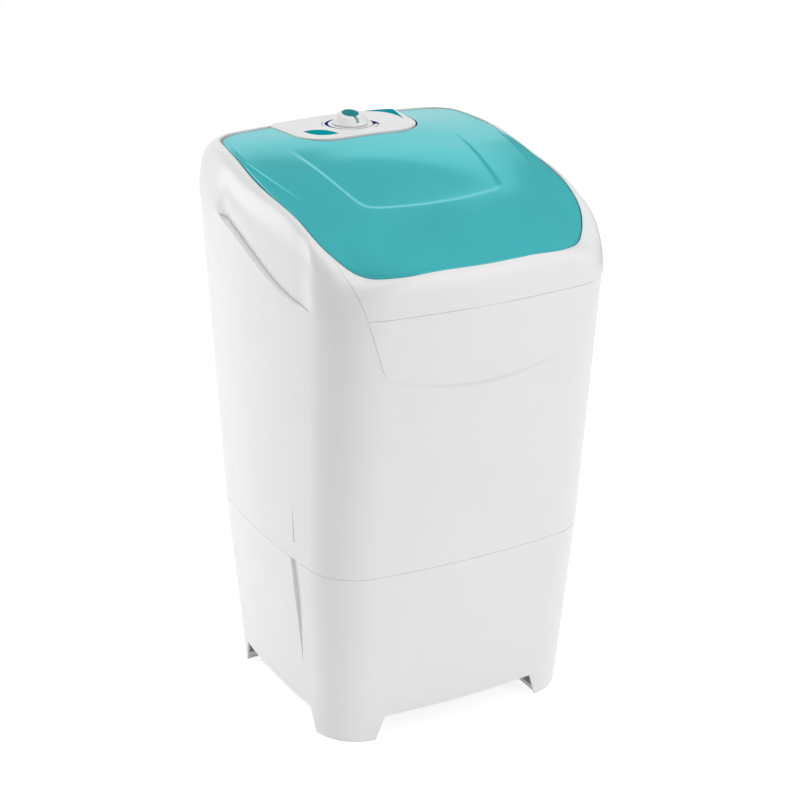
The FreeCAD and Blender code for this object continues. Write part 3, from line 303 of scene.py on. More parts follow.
def lid_crease(lid, y):
    """Distance of the side crease from the centre line: widest 90 mm back, closing in fore and aft."""
    widest, closing_aft, closing_fore = 90, 0.0018, 0.00076
    back = y - widest
    return (lid.half_width - lid.edge_width) / MM - back ** 2 * np.where(back > 0, closing_aft, closing_fore)


def lid_base(lid, x, y):
    """Height of the plain lid: the lower of a crowned long arc and a front roll, blended smoothly.

    The roll rises from the front edge as a power of the distance inside it, and the edge bends back at the
    corners with the fourth power of the distance from the centre line.
    """
    console_overlap, crown_start, crown_rise, crown_power = 27, -120, 160, 1.5
    corner_depth, corner_half, corner_softness = 52, 189, 1 / 6
    roll_gain, roll_start, roll_power = 1.57, 3, 0.79
    changeover = 5.0
    arc, hinge = lid.arc / MM, HINGE[1] / MM
    main = lid.rear_height / MM - arc + np.sqrt(arc ** 2 - (hinge - y) ** 2)
    across = np.clip(1 - (x * MM / lid.half_width) ** 2, 0, None)
    behind = PANEL_LOW.y / MM + console_overlap
    crown = (lid.crown + (lid.rim_crown - lid.crown) * ease((y - behind) / (hinge - behind))) / MM
    main = main + crown * across ** crown_power * ease((y - crown_start) / crown_rise)
    bent = soft_min((x / corner_half) ** 4, np.ones_like(x), corner_softness)
    inside = y + lid.front / MM - corner_depth * bent
    rise = (np.maximum(inside, 0) + roll_start) ** roll_power - roll_start ** roll_power
    roll = np.where(inside > 0, roll_gain * rise, inside)
    return soft_min(main, lid.front_height / MM + roll, changeover)


def lid_side(lid, side, y):
    """Drop of the side edge outside the crease, and depth of the step along the crease.

    The drop grows with the square of the distance from the crease and is strongest near the lid's middle.
    The step fades out fore and aft.
    """
    middle, reach, fading = 5, 130, 1.5
    step_depth, step_width = 0.9, 5
    step_front, front_fade, step_rear, rear_fade = -150, 60, 205, 40
    beyond = np.clip(side - lid_crease(lid, y), 0, None)
    drop = lid.edge_drop / MM * (beyond * MM / lid.edge_width) ** 2
    drop = drop * np.clip(1 - ((y - middle) / reach) ** 2, 0, None) ** fading
    step = step_depth * ease(beyond / step_width)
    return drop, step * ease((y - step_front) / front_fade) * ease((step_rear - y) / rear_fade)


def lid_recess(lid, x, y):
    """Depth of the sunk middle panel: a rounded wall along its sides and front, running out to the rear."""
    half, half_slope, half_bow = 138.2, 0.108, 0.00032
    front, front_bow = -132, 0.0009
    wall_width, rear, rear_fade = 7.0, 25, 72
    reach = half + half_slope * y - half_bow * y ** 2
    inside = soft_min(reach - np.abs(x), y - front - front_bow * x ** 2, wall_width)
    wall = np.clip(inside / wall_width, 0, 1)
    profile = 0.5 * ease(wall) + 0.5 * (1 - (1 - wall) ** 2)
    return lid.recess_depth / MM * profile * (1 - ease((y - rear) / rear_fade))


def lid_tick(side, y):
    """Depth of the short slanting dent near each front corner: steep on its rear side, fading elsewhere."""
    middle, cosine, sine = (172, -163), 0.93, 0.366
    depth, steep, width, fade = 0.5, 4, 22, 18
    half_length, end_fade = 20, 14
    along = cosine * (side - middle[0]) + sine * (y - middle[1])
    beside = cosine * (y - middle[1]) - sine * (side - middle[0])
    dent = depth * ease(-beside / steep) * ease((beside + width) / fade)
    return dent * ease((half_length - np.abs(along)) / end_fade)


def lid_top(lid, x, y):
    """Plain lid less its rolled side edge, the step along the crease, the sunk middle panel and the dents."""
    side = np.abs(x)
    drop, step = lid_side(lid, side, y)
    return lid_base(lid, x, y) - drop - step - lid_recess(lid, x, y) - lid_tick(side, y)


def mirrored(path):
    """Left-hand path carried on along its mirror image to the right."""
    return np.concatenate([path, path[-2::-1] * (-1, 1)])


def lid_shell(lid, around=221, across=150):
    """Ruled grid between the rear and the outer edge, wrapped over the rim, down the skirt and back below."""
    rim_radius, rim_start, rim_steps = 1.8, 0.3, 5
    skirt_end, skirt_fade, inner_gap = 24, 12, 0.4
    outer = mirrored(lid_edge(lid, around))
    rear = mirrored(lid_notch(lid, outer[0], around))
    ahead = np.gradient(outer, axis=0)
    inward = np.stack([-ahead[:, 1], ahead[:, 0]], -1) / np.hypot(*ahead.T)[:, None]
    skin, skirt = lid.skin / MM, lid.skirt / MM
    depth = skin + (skirt - skin) * ease((HINGE[1] / MM - skirt_end - outer[:, 1]) / skirt_fade)
    room = np.hypot(*(outer - rear).T)
    bend = np.minimum(rim_radius, room / 3)
    inner = np.full_like(bend, skin)

    def inset_edge(inset):
        return outer + inward * np.minimum(inset, room / 2)[:, None]

    def rail(inset, down):
        height = lid_top(lid, outer[:, 0], outer[:, 1]) - down
        return np.concatenate([inset_edge(inset), height[:, None]], -1)

    def sheet(inset, drop, order):
        v = order[None, :, None]
        plan = rear[:, None] * (1 - v) + inset_edge(inset)[:, None] * v
        height = lid_top(lid, plan[..., 0], plan[..., 1]) - drop
        return np.concatenate([plan, height[..., None]], -1)

    v = np.linspace(0, 1, across)
    turns = np.linspace(rim_start, 1, rim_steps) * math.pi / 2
    rim = [rail(bend * (1 - math.sin(t)), bend * (1 - math.cos(t))) for t in turns]
    wall = [rail(np.zeros_like(bend), depth), rail(inner, depth), rail(inner, skin + inner_gap)]
    return np.concatenate([sheet(bend, 0, v), np.stack(rim + wall, 1), sheet(inner, skin, v[::-3])], 1)


def barrel_grid(lid, side, around=48):
    """Hinge barrel: a ring section with outer and bore radius turned about the hinge line."""
    outer, bore = lid.barrel / MM, lid.barrel_bore / MM
    near, far, chamfer = 118.4, 174.0, 0.6
    profile = np.array([(near, bore), (near, outer - chamfer), (near + chamfer, outer),
                        (far - chamfer, outer), (far, outer - chamfer), (far, bore)])
    turn = np.linspace(0, 2 * math.pi, around, endpoint=False) * side
    x = side * np.broadcast_to(profile[:, 0], (around, len(profile)))
    y = HINGE[1] / MM + np.outer(np.sin(turn), profile[:, 1])
    z = HINGE[2] / MM + np.outer(np.cos(turn), profile[:, 1])
    return np.stack([x, y, z], -1)


class WASHER_OT_lid(bpy.types.Operator):
    """Teal lid with a sunk middle panel, side creases, a rolled rim, a skirt and hinge barrels."""
    bl_idname = "washer.lid"
    bl_label = "Lid"

    def execute(self, context):
        lid = context.scene.washer_lid
        grids = [(lid_shell(lid), False, True)]
        grids += [(barrel_grid(lid, side), True, True) for side in (-1, 1)]
        piece = grid_piece("lid_shell", grids, "lid_body", sharp=50)
        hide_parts("lid")
        piece.data.materials.append(bpy.data.materials["lid_teal"])
        return {"FINISHED"}


# Console print and knob

def panel_height(console, x):
    """Crowned top of the control panel: a cylinder along the machine's depth."""
    crown = console.crown / MM
    return PANEL_HIGH.z / MM - crown + np.sqrt(crown ** 2 - x ** 2)


def inlay(left, right, surface, lift, sunk=0.6, across=14, rounding=0.35):
    """Thin closed shell between two edge curves, its top following a surface with slightly rounded edges."""
    v = np.linspace(0, 1, across)[None, :, None]
    plan = left[:, None] * (1 - v) + right[:, None] * v
    from_edge = np.minimum(np.minimum(v, 1 - v)[..., 0] * np.hypot(*(right - left).T)[:, None], rounding)
    base = surface(plan[..., 0], plan[..., 1])
    top = base + lift * np.sqrt(np.clip(1 - (1 - from_edge / rounding) ** 2, 0, 1))
    over = np.concatenate([plan, top[..., None]], -1)
    below = np.concatenate([plan, (base - sunk)[..., None]], -1)
    return np.concatenate([over, below[:, ::-1]], 1)


def capped(loop):
    """Closed loop grid whose wide ends are drawn together to their middles; sharp ends are closed already."""
    sharp = 0.001
    rows = [loop]
    for end, place in ((loop[0], 0), (loop[-1], 2)):
        if np.ptp(end[:, :2], axis=0).max() > sharp:
            rows.insert(place, np.broadcast_to(end.mean(0), (1,) + end.shape))
    return np.concatenate(rows)


def bowed(points, count=40):
    """Smooth open curve through points: a cubic spline with matching slopes, in chord length."""
    points = np.array(points, float)
    knots = np.concatenate([[0], np.cumsum(np.hypot(*np.diff(points, axis=0).T))])
    slopes = np.gradient(points, knots, axis=0)
    at = np.linspace(0, knots[-1], count)
    i = np.clip(np.searchsorted(knots, at, side="right") - 1, 0, len(knots) - 2)
    gap = (knots[i + 1] - knots[i])[:, None]
    t = (at - knots[i])[:, None] / gap
    return ((1 + 2 * t) * (1 - t) ** 2 * points[i] + t * (1 - t) ** 2 * gap * slopes[i]
            + t ** 2 * (3 - 2 * t) * points[i + 1] + t ** 2 * (t - 1) * gap * slopes[i + 1])


def ring_part(inner, outer, start, end, count=90):
    """Edge curves of a ring part round the knob's axis.

    The radii are functions of the turn, which is in degrees and 0 at the right.
    """
    turn = np.linspace(start, end, count)
    ray = np.stack([np.cos(np.radians(turn)), np.sin(np.radians(turn))], -1)
    centre = np.array(KNOB_AXIS[:2]) / MM
    return centre + ray * inner(turn)[:, None], centre + ray * outer(turn)[:, None]


def console_inlay(name, console, pairs, material):
    """Printed pieces of one colour on the panel."""
    lift = console.print_lift / MM
    grids = []
    for left, right in pairs:
        loop = inlay(left, right, lambda x, y: panel_height(console, x), lift)
        grids.append((capped(loop), False, True))
    piece = grid_piece(name, grids, "machine", sharp=35)
    piece.data.materials.append(bpy.data.materials[material])


class WASHER_OT_dial(bpy.types.Operator):
    """Printed dial: a ring that swells to a crescent at the left, a pennant at the right and fine marks."""
    bl_idname = "washer.dial"
    bl_label = "Dial"

    def execute(self, context):
        console = context.scene.washer_console
        radius, line = console.dial_radius / MM, console.dial_line / MM
        swell, swell_middle, swell_reach, swell_power = console.dial_swell / MM, 152, 62, 1.2
        flag_start, flag_end, flag_height, flag_rise, flag_fall = -34, 4, 9, 30, 6
        ring_start, ring_end = 112, 292
        dashes, dash_turn = (296, 307, 318), 7
        arcs, arc_turn, arc_offset, arc_line = (138, -58), 34, 8.4, 1.0

        def level(offset):
            return lambda turn: radius + offset + 0 * turn

        def crescent(turn):
            share = np.clip(1 - np.abs(turn - swell_middle) / swell_reach, 0, 1)
            return radius + line / 2 + swell * share ** swell_power

        def pennant(turn):
            rise = np.clip((flag_end - turn) / flag_rise, 0, 1)
            return radius + line / 2 + flag_height * rise * np.clip((turn - flag_start) / flag_fall, 0, 1)

        inner = level(-line / 2)
        pairs = [ring_part(inner, crescent, ring_start, ring_end),
                 ring_part(inner, pennant, flag_start, flag_end, 40)]
        pairs += [ring_part(inner, level(line / 2), turn, turn + dash_turn, 12) for turn in dashes]
        pairs += [ring_part(level(arc_offset), level(arc_offset + arc_line), turn, turn + arc_turn, 30)
                  for turn in arcs]
        console_inlay("dial_print", console, pairs, "dial_ink")
        return {"FINISHED"}


class WASHER_OT_leaves(bpy.types.Operator):
    """Two teal leaves printed on the panel, at the front left and at the rear right."""
    bl_idname = "washer.leaves"
    bl_label = "Leaves"

    def execute(self, context):
        console = context.scene.washer_console
        front_leaf = (bowed([(-44, 113), (-60, 114), (-74, 121), (-83, 135), (-87, 156)]),
                      bowed([(-44, 113), (-49, 134), (-59, 149), (-71, 155), (-87, 156)]))
        rear_leaf = (bowed([(95, 153), (102, 180), (108, 205), (110, 223), (94, 226), (58, 226)]),
                     bowed([(95, 153), (95, 182), (87, 206), (58, 226)]))
        console_inlay("leaf_print", console, [front_leaf, rear_leaf], "leaf_teal")
        return {"FINISHED"}


def knob_height(console, x, y):
    """Knob surface: the lower of its bulging side and its sloping face, with a rounded changeover."""
    bulge, changeover = 1.7, 0.28
    radius, neck, tall = console.knob_radius / MM, console.knob_neck / MM, console.knob_height / MM
    fall = np.clip((np.hypot(x, y) - neck) / (radius - neck), 0, 1)
    side = KNOB_RIM + (tall - KNOB_RIM) * (1 - fall ** bulge)
    face = console.knob_face / MM + y * math.tan(console.knob_slope)
    return soft_min(side, face, changeover)


def knob_grid(console, around=240, out=90):
    """Knob as a disc of rays: a ribbed height field over its foot, then a short rim and the underside.

    The underside is flat, with a socket for the shaft.
    """
    rib_depth, rib_count, rib_start, rib_rise, rib_margin, rib_fall = 0.45, 36, 16, 3, 0.6, 1.5
    socket_radius, socket_depth, crowding = 3.2, 8.0, 0.8
    radius = console.knob_radius / MM
    turn = np.linspace(0, 2 * math.pi, around, endpoint=False)[:, None]
    flat = np.linspace(0, 1, out)[None, :] ** crowding * radius
    ribs = rib_depth * np.cos(turn * rib_count) * ease((flat - rib_start) / rib_rise)
    ribs = ribs * ease((radius - rib_margin - flat) / rib_fall)
    x, y = flat * np.cos(turn), flat * np.sin(turn)
    z = np.maximum(knob_height(console, x, y) + ribs, KNOB_RIM)
    reach, height = np.array([(radius, 1.6), (radius, 0.5), (radius - 0.5, 0.0), (socket_radius, 0.0),
                              (socket_radius, socket_depth), (0.0, socket_depth)]).T
    foot_x, foot_y = reach * np.cos(turn), reach * np.sin(turn)
    foot = np.stack([foot_x, foot_y, np.broadcast_to(height, foot_x.shape)], -1)
    return np.concatenate([np.stack([x, y, z], -1), foot], 1) + KNOB_FOOT


def pointer_edges(console, count=80):
    """Left and right edge of the keyhole pointer: a disc and a straight tail to the front, with fillets."""
    slim, fillet = 2.2, 0.35
    disc, tail = console.pointer_radius / MM, console.pointer_tail / MM
    y = (disc - tail) / 2 - (disc + tail) / 2 * np.cos(np.linspace(0, math.pi, count))
    round_part = np.sqrt(np.clip(disc ** 2 - y ** 2, 0, None))
    end = np.sqrt(np.clip(1 - (np.clip(-tail + slim - y, 0, slim) / slim) ** 2, 0, 1))
    bar = np.where(y < 0, slim * end, 0)
    half = np.maximum(-soft_min(-round_part, -bar, fillet), 0.0)
    half[[0, -1]] = 0.0
    return np.stack([-half, y], -1), np.stack([half, y], -1)


class WASHER_OT_knob(bpy.types.Operator):
    """Ribbed timer knob with rounded edges, and the teal keyhole pointer in its sloping face."""
    bl_idname = "washer.knob"
    bl_label = "Knob and pointer"

    def execute(self, context):
        lift, sunk, rounding = 0.35, 0.5, 0.7
        console = context.scene.washer_console
        knob = grid_piece("knob_shell", [(knob_grid(console), True, False)], "knob_body", sharp=60)
        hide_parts("timer_knob")
        knob.data.materials.append(bpy.data.materials["panel_white"])
        left, right = pointer_edges(console)
        loop = inlay(left, right, lambda x, y: knob_height(console, x, y), lift, sunk, 24, rounding)
        pointer = grid_piece("pointer_inlay", [(loop + KNOB_FOOT, False, True)], "knob_body", sharp=45)
        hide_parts("knob_cap")
        pointer.data.materials.append(bpy.data.materials["pointer_teal"])
        return {"FINISHED"}


# Finishes

def socket(group, name, kind, out=False, default=None):
    """Named input or output of a shader group."""
    made = group.interface.new_socket(name=name, in_out="OUTPUT" if out else "INPUT", socket_type=kind)
    if default is not None:
        made.default_value = default


def fill(tree, entry, value):
    """Gives a node's input a number, or links it to another node's output."""
    if isinstance(value, (int, float)):
        entry.default_value = value
    else:
        tree.links.new(value, entry)


def number(tree, operation, first, second):
    """Result of a Math node on two numbers or outputs."""
    node = tree.nodes.new("ShaderNodeMath")
    node.operation = operation
    fill(tree, node.inputs[0], first)
    fill(tree, node.inputs[1], second)
    return node.outputs["Value"]


def noise_into(tree, vector, scale, detail, rough):
    """Noise texture fed with a vector and a scale."""
    node = tree.nodes.new("ShaderNodeTexNoise")
    node.inputs["Detail"].default_value = detail
    node.inputs["Roughness"].default_value = rough
    tree.links.new(vector, node.inputs["Vector"])
    tree.links.new(scale, node.inputs["Scale"])
    return node.outputs["Fac"]


def skin_group(name, stretch, cells):
    """Shader group of slow tone, gloss and relief patterns: stretched noise, and cells where asked for."""
    group = bpy.data.node_groups.new(name, "ShaderNodeTree")
    socket(group, "Grain Scale", "NodeSocketFloat", default=900.0)
    socket(group, "Drift Scale", "NodeSocketFloat", default=9.0)
    for out in ("Tone", "Gloss", "Relief"):
        socket(group, out, "NodeSocketFloat", out=True)
    inside = group.nodes.new("NodeGroupInput")
    outside = group.nodes.new("NodeGroupOutput")
    place = group.nodes.new("ShaderNodeTexCoord")
    turn = group.nodes.new("ShaderNodeMapping")
    turn.inputs["Scale"].default_value = stretch
    group.links.new(place.outputs["Object"], turn.inputs["Vector"])
    vector = turn.outputs["Vector"]
    grain = noise_into(group, vector, inside.outputs["Grain Scale"], detail=3.0, rough=0.6)
    drift = noise_into(group, vector, inside.outputs["Drift Scale"], detail=4.0, rough=0.55)
    if cells:
        pits = group.nodes.new("ShaderNodeTexVoronoi")
        pits.feature = "SMOOTH_F1"
        group.links.new(vector, pits.inputs["Vector"])
        group.links.new(inside.outputs["Grain Scale"], pits.inputs["Scale"])
        grain = number(group, "MULTIPLY", pits.outputs["Distance"], grain)
    group.links.new(drift, outside.inputs["Tone"])
    group.links.new(number(group, "MULTIPLY", drift, grain), outside.inputs["Gloss"])
    group.links.new(grain, outside.inputs["Relief"])


def spread(colour, factor):
    """Colour scaled in brightness, kept within range."""
    return tuple(min(max(channel * factor, 0.0), 1.0) for channel in colour) + (1.0,)


def finish(name, group, colour, vary, rough, relief, grain, drift, **shader):
    """Material: colour drifts by a share, gloss varies between two roughness values, and relief is a bump.

    The relief's height is in metres. Further values go to the shader's own sockets.
    """
    tone_range, gloss_range = (0.3, 0.7), (0.1, 0.4)
    material = bpy.data.materials.new(name)
    material.use_nodes = True
    tree = material.node_tree
    principled = tree.nodes["Principled BSDF"]
    skin = tree.nodes.new("ShaderNodeGroup")
    skin.node_tree = bpy.data.node_groups[group]
    skin.inputs["Grain Scale"].default_value = grain
    skin.inputs["Drift Scale"].default_value = drift
    ramp = tree.nodes.new("ShaderNodeValToRGB")
    for element, position, factor in zip(ramp.color_ramp.elements, tone_range, (1 - vary, 1 + vary)):
        element.position = position
        element.color = spread(colour, factor)
    tree.links.new(skin.outputs["Tone"], ramp.inputs["Fac"])
    tree.links.new(ramp.outputs["Color"], principled.inputs["Base Color"])
    gloss = tree.nodes.new("ShaderNodeMapRange")
    for entry, value in zip(("From Min", "From Max", "To Min", "To Max"), gloss_range + rough):
        gloss.inputs[entry].default_value = value
    tree.links.new(skin.outputs["Gloss"], gloss.inputs["Value"])
    tree.links.new(gloss.outputs["Result"], principled.inputs["Roughness"])
    bump = tree.nodes.new("ShaderNodeBump")
    bump.inputs["Strength"].default_value = 1.0
    bump.inputs["Distance"].default_value = relief
    tree.links.new(skin.outputs["Relief"], bump.inputs["Height"])
    tree.links.new(bump.outputs["Normal"], principled.inputs["Normal"])
    for key, value in shader.items():
        principled.inputs[key.replace("_", " ").title().replace("Ior", "IOR")].default_value = value
    return material


def edge_shade_group():
    """Shader group that darkens a colour in a soft band under the front panel's bowed lower edge.

    The edge's height grows with the square of the distance from the middle. The band starts just above it,
    is darkest near its top and fades out below and towards the edge's ends.
    """
    edge_height, edge_bow, end_fade = 0.618, 1.04, 38.0
    band_start, band_per_metre, darkest = 0.001, 100.0, 0.14
    shade = (0.9, 0.9, 0.9, 1)
    group = bpy.data.node_groups.new("edge_shade", "ShaderNodeTree")
    socket(group, "Color", "NodeSocketColor")
    socket(group, "Color", "NodeSocketColor", out=True)
    inside = group.nodes.new("NodeGroupInput")
    outside = group.nodes.new("NodeGroupOutput")
    place = group.nodes.new("ShaderNodeTexCoord")
    split = group.nodes.new("ShaderNodeSeparateXYZ")
    group.links.new(place.outputs["Object"], split.inputs["Vector"])
    x, y, z = (split.outputs[axis] for axis in "XYZ")
    square = number(group, "MULTIPLY", x, x)
    edge = number(group, "ADD", number(group, "MULTIPLY", square, edge_bow), edge_height)
    below = number(group, "ADD", number(group, "SUBTRACT", edge, z), band_start)
    band = group.nodes.new("ShaderNodeValToRGB")
    band.color_ramp.interpolation = "EASE"
    for element in band.color_ramp.elements:
        element.color = BLACK
    band.color_ramp.elements.new(darkest).color = WHITE
    group.links.new(number(group, "MULTIPLY", below, band_per_metre), band.inputs["Fac"])
    front = number(group, "LESS_THAN", y, 0.0)
    fade = number(group, "SUBTRACT", 1.0, number(group, "MULTIPLY", square, end_fade))
    ends = number(group, "MAXIMUM", number(group, "MULTIPLY", front, fade), 0.0)
    mix = group.nodes.new("ShaderNodeMix")
    mix.data_type = "RGBA"
    mix.blend_type = "MULTIPLY"
    group.links.new(number(group, "MULTIPLY", band.outputs["Color"], ends), mix.inputs["Factor"])
    group.links.new(inside.outputs["Color"], mix.inputs["A"])
    mix.inputs["B"].default_value = shade
    group.links.new(mix.outputs["Result"], outside.inputs["Color"])
    return group


def shade_edge(material):
    """Puts the edge shade between a finish's colour and its shader."""
    tree = material.node_tree
    base = tree.nodes["Principled BSDF"].inputs["Base Color"]
    shade = tree.nodes.new("ShaderNodeGroup")
    shade.node_tree = edge_shade_group()
    tree.links.new(base.links[0].from_socket, shade.inputs["Color"])
    tree.links.new(shade.outputs["Color"], base)


class WASHER_OT_finishes(bpy.types.Operator):
    """Moulded plastic, rubber and metal finishes, given to every CAD node by its slot in the record."""
    bl_idname = "washer.finishes"
    bl_label = "Finishes"

    def execute(self, context):
        colours = context.scene.washer_colours
        skin_group("moulded_skin", (1, 1, 1), False)
        skin_group("drawn_metal_skin", (1, 1, 0.06), False)
        skin_group("cast_skin", (1, 1, 1), True)
        record = {row["slot"]: tuple(row["base_color"]) for row in frame["record"]["materials"]}
        moulded = dict(group="moulded_skin", grain=700, drift=6)
        shell = dict(colour=colours.shell, vary=0.012, rough=(0.26, 0.4), relief=0.00002, **moulded)
        finish("shell_white", **shell)
        cabinet = finish("cabinet_white", **shell)
        shade_edge(cabinet)
        finish("panel_white", colour=colours.panel, vary=0.015, rough=(0.3, 0.42), relief=0.00002, **moulded)
        finish("lid_teal", colour=colours.lid, vary=0.03, rough=(0.1, 0.2), relief=0.000004, metallic=0.25,
               specular_ior_level=0.2, **moulded)
        finish("leaf_teal", colour=colours.leaf, vary=0.04, rough=(0.3, 0.45), relief=0.00001,
               specular_ior_level=0.0, **moulded)
        finish("pointer_teal", colour=colours.pointer, vary=0.05, rough=(0.22, 0.36), relief=0.00001,
               specular_ior_level=0.03, **moulded)
        finish("dial_ink", colour=colours.ink, vary=0.08, rough=(0.35, 0.5), relief=0.00001,
               specular_ior_level=0.0, **moulded)
        finish("tub_satin", colour=colours.tub, vary=0.02, rough=(0.38, 0.55), relief=0.00006, **moulded)
        finish("agitator_gloss", colour=colours.agitator, vary=0.015, rough=(0.22, 0.36), relief=0.00003,
               **moulded)
        looks = {"white_plastic": "shell_white", "teal_plastic": "lid_teal", "panel_plastic": "panel_white",
                 "tub_plastic": "tub_satin", "agitator_plastic": "agitator_gloss"}
        # Finishes in the record's colours: slot, name, skin, drift of colour, roughness, relief in metres,
        # scales of grain and drift, metallic share
        rows = (("dark_plastic", "black_moulding", "cast_skin", 0.15, (0.4, 0.6), 0.00008, 1500, 14, 0.0),
                ("dark_rubber", "black_rubber", "cast_skin", 0.25, (0.6, 0.85), 0.00012, 900, 20, 0.0),
                ("pad_rubber", "pale_rubber", "cast_skin", 0.06, (0.6, 0.85), 0.00012, 900, 20, 0.0),
                ("steel", "zinc_steel", "drawn_metal_skin", 0.1, (0.22, 0.42), 0.00003, 2400, 60, 1.0),
                ("cast_aluminium", "die_cast", "cast_skin", 0.08, (0.38, 0.6), 0.00018, 800, 25, 1.0),
                ("painted_steel", "black_enamel", "moulded_skin", 0.12, (0.25, 0.45), 0.00006, 500, 18, 0.0),
                ("bronze", "oiled_bronze", "cast_skin", 0.12, (0.3, 0.5), 0.0001, 1600, 40, 1.0))
        for slot, name, skin, vary, rough, relief, grain, drift, metallic in rows:
            finish(name, skin, record[slot], vary, rough, relief, grain, drift, metallic=metallic)
            looks[slot] = name
        for part in frame["record"]["subparts"]:
            node = frame["nodes"][part["node"]]
            node.data.materials.clear()
            node.data.materials.append(bpy.data.materials[looks[part["material_slot"]]])
        frame["nodes"]["cabinet"].data.materials[0] = cabinet
        return {"FINISHED"}


# Stage

def seen_directly(tree):
    """1 for camera, glossy and transmission rays, which see the plain white surroundings, else 0."""
    path = tree.nodes.new("ShaderNodeLightPath")
    result = path.outputs["Is Camera Ray"]
    for kind in ("Is Glossy Ray", "Is Transmission Ray"):
        result = number(tree, "MAXIMUM", result, path.outputs[kind])
    return result


def mixed(tree, share, first, second):
    """Output of a Mix Shader node between two shaders."""
    node = tree.nodes.new("ShaderNodeMixShader")
    for entry, value in zip(node.inputs, (share, first, second)):
        tree.links.new(value, entry)
    return node.outputs["Shader"]


def glowing(tree, strength):
    """Output of a white Emission node."""
    node = tree.nodes.new("ShaderNodeEmission")
    node.inputs["Strength"].default_value = strength
    return node.outputs["Emission"]


def stage_sheet(name, points):
    """Sheet of the stage through a grid of points in metres; gives the node tree of its material."""
    mesh = bpy.data.meshes.new(name)
    mesh.from_pydata(points.reshape(-1, 3).tolist(), [], grid_faces(*points.shape[:2]).tolist())
    sheet = bpy.data.objects.new(name, mesh)
    bpy.context.scene.collection.objects.link(sheet)
    material = bpy.data.materials.new("studio_" + name)
    material.use_nodes = True
    mesh.materials.append(material)
    return material.node_tree


def reflector(name, points, strength):
    """Sheet that glows to glossy rays and is clear to all others."""
    tree = stage_sheet(name, points)
    tree.nodes.remove(tree.nodes["Principled BSDF"])
    clear = tree.nodes.new("ShaderNodeBsdfTransparent").outputs["BSDF"]
    glossy = tree.nodes.new("ShaderNodeLightPath").outputs["Is Glossy Ray"]
    tree.links.new(mixed(tree, glossy, clear, glowing(tree, strength)),
                   tree.nodes["Material Output"].inputs["Surface"])


def panel_light(name, place, aim, size, power):
    """Rectangular soft light that faces its aim point."""
    data = bpy.data.lights.new(name, "AREA")
    data.shape = "RECTANGLE"
    data.size, data.size_y = size
    data.energy = power
    lamp = bpy.data.objects.new(name, data)
    bpy.context.scene.collection.objects.link(lamp)
    lamp.location = place
    lamp.rotation_mode = "QUATERNION"
    lamp.rotation_quaternion = (Vector(aim) - Vector(place)).to_track_quat("-Z", "Y")


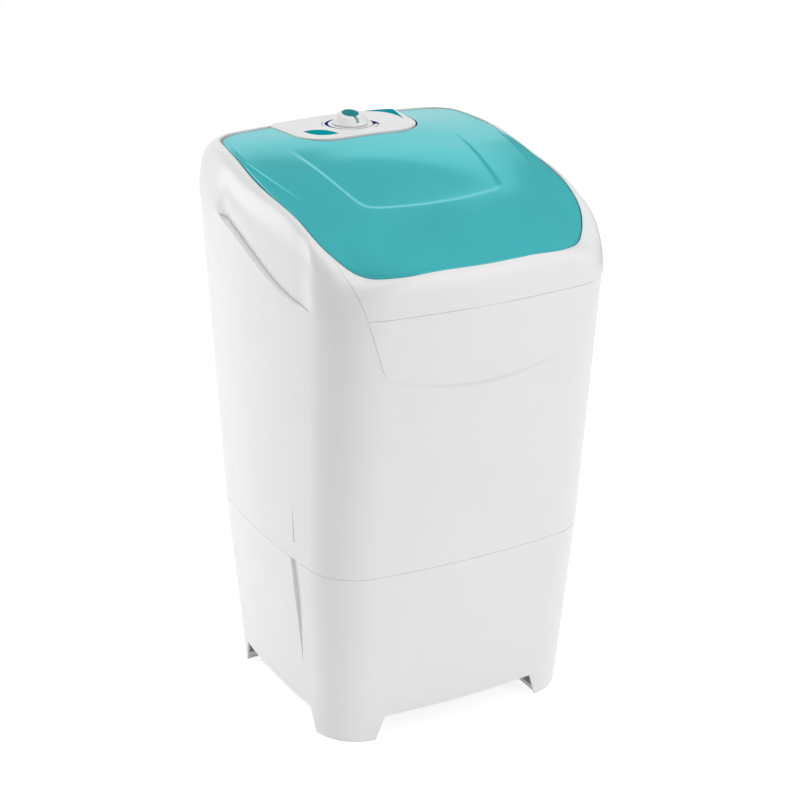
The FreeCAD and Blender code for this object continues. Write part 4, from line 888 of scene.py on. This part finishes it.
class WASHER_OT_stage(bpy.types.Operator):
    """White floor, soft studio light, surfaces that the lid reflects, and the camera."""
    bl_idname = "washer.stage"
    bl_label = "Stage"

    def execute(self, context):
        stage = context.scene.washer_stage
        self.surroundings(context.scene, stage)
        self.floor()
        self.reflections(stage)
        for name, (place, size, power) in LAMPS.items():
            panel_light(name, place, LAMP_AIM, size, power)
        self.camera(context.scene, stage)
        context.scene.view_settings.view_transform = "Standard"
        return {"FINISHED"}

    def surroundings(self, scene, stage):
        """White background, which lights the machine with its own lower strength."""
        world = bpy.data.worlds.new("studio")
        scene.world = world
        world.use_nodes = True
        tree = world.node_tree
        soft = tree.nodes["Background"]
        soft.inputs["Color"].default_value = WHITE
        soft.inputs["Strength"].default_value = stage.ambient
        plain = tree.nodes.new("ShaderNodeBackground")
        plain.inputs["Color"].default_value = WHITE
        both = mixed(tree, seen_directly(tree), soft.outputs["Background"], plain.outputs["Background"])
        tree.links.new(both, tree.nodes["World Output"].inputs["Surface"])

    def floor(self):
        """Flat white floor that keeps the machine's shadow and glows a little."""
        half, count = 6, 13
        reach = np.linspace(-half, half, count)
        x, y = np.meshgrid(reach, reach, indexing="ij")
        tree = stage_sheet("floor", np.stack([x, y, np.zeros_like(x)], -1))
        principled = tree.nodes["Principled BSDF"]
        principled.inputs["Base Color"].default_value = (0.9, 0.9, 0.9, 1)
        principled.inputs["Roughness"].default_value = 0.9
        principled.inputs["Specular IOR Level"].default_value = 0.0
        glow = mixed(tree, seen_directly(tree), glowing(tree, FLOOR_BOUNCE), glowing(tree, FLOOR_GLOW))
        both = tree.nodes.new("ShaderNodeAddShader")
        tree.links.new(principled.outputs["BSDF"], both.inputs[0])
        tree.links.new(glow, both.inputs[1])
        tree.links.new(both.outputs["Shader"], tree.nodes["Material Output"].inputs["Surface"])

    def reflections(self, stage):
        """Dim ceiling with a bowed far edge, dim wall at the right, and bright strip for the left crease.

        Ceiling and wall lie along and across the camera's line of sight. The ceiling's far edge is a parabola
        over the distance across, cut off level at the left and drawn back to the wall at the right. The strip
        widens and leans to the right with its distance behind the machine.
        """
        half, columns, rows = 4, 161, 9
        bow_start, edge_slope, edge_bow = -0.45, -1.02, 1.107
        strip_near, strip_far, strip_gap = 0.4, 2.6, 0.1
        strip_lean, strip_left, strip_half, strip_flare = 0.09, 0.21, 0.05, 0.02
        along = np.array([-math.sin(stage.azimuth), math.cos(stage.azimuth)])
        beside = np.array([along[1], -along[0]])
        share = np.linspace(0, 1, rows)

        def placed(across, reach, height):
            plan = reach[..., None] * along + across[..., None] * beside
            return np.concatenate([plan, height[..., None]], -1)

        across, depth = np.meshgrid(np.linspace(-half, half, columns), share, indexing="ij")
        near = np.clip(across, bow_start, stage.wall_start)
        edge = stage.flag_edge + edge_slope * near + edge_bow * near ** 2
        edge = np.where(across > stage.wall_start, stage.wall_reach, edge)
        ceiling = np.full(across.shape, stage.flag_height)
        reflector("flag", placed(across, depth * (edge + half) - half, ceiling), DIM_GLOW)
        across, rise = np.meshgrid(np.linspace(stage.wall_start, half, rows), share, indexing="ij")
        behind = np.full(across.shape, stage.wall_reach)
        reflector("wall", placed(across, behind, rise * stage.flag_height), DIM_GLOW)
        run = np.linspace(strip_near, strip_far, rows)
        side, y = np.meshgrid(np.linspace(-1, 1, rows), run, indexing="ij")
        x = strip_lean * y - strip_left + side * (strip_half + strip_flare * y)
        overhead = np.full(x.shape, stage.flag_height - strip_gap)
        reflector("strip", np.stack([x, y, overhead], -1), STRIP_GLOW)

    def camera(self, scene, stage):
        """Camera at its distance from the aim point, turned and raised by its two angles."""
        sensor = 36.0
        data = bpy.data.cameras.new("camera")
        data.sensor_width = sensor
        data.lens = sensor * stage.focal_share
        camera = bpy.data.objects.new("camera", data)
        scene.collection.objects.link(camera)
        level, rise = math.cos(stage.elevation), math.sin(stage.elevation)
        back = Vector((math.sin(stage.azimuth) * level, -math.cos(stage.azimuth) * level, rise))
        camera.location = Vector(stage.aim) + back * stage.distance
        camera.rotation_mode = "QUATERNION"
        camera.rotation_quaternion = (-back).to_track_quat("-Z", "Y")
        scene.camera = camera


class WASHER_PT_sidebar(bpy.types.Panel):
    """Buttons for the washing machine's pieces."""
    bl_idname = "WASHER_PT_sidebar"
    bl_label = "Washing machine"
    bl_space_type = "VIEW_3D"
    bl_region_type = "UI"
    bl_category = "Washer"

    def draw(self, context):
        for operator in OPERATORS:
            self.layout.operator(operator.bl_idname)


OPERATORS = (WASHER_OT_finishes, WASHER_OT_lid, WASHER_OT_dial, WASHER_OT_leaves, WASHER_OT_knob,
             WASHER_OT_stage)
GROUPS = {"washer_lid": WasherLidSizes, "washer_console": WasherConsoleSizes, "washer_colours": WasherColours,
          "washer_stage": WasherStage}


def register():
    for group in GROUPS.values():
        bpy.utils.register_class(group)
    for name, group in GROUPS.items():
        setattr(bpy.types.Scene, name, bpy.props.PointerProperty(type=group))
    for item in OPERATORS + (WASHER_PT_sidebar,):
        bpy.utils.register_class(item)


def unregister():
    for item in (WASHER_PT_sidebar,) + OPERATORS[::-1]:
        bpy.utils.unregister_class(item)
    for name, group in GROUPS.items():
        delattr(bpy.types.Scene, name)
        bpy.utils.unregister_class(group)


def main():
    register()
    bpy.ops.washer.finishes()
    bpy.ops.washer.lid()
    bpy.ops.washer.dial()
    bpy.ops.washer.leaves()
    bpy.ops.washer.knob()
    bpy.ops.washer.stage()
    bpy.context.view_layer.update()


if __name__ == "__main__":
    main()
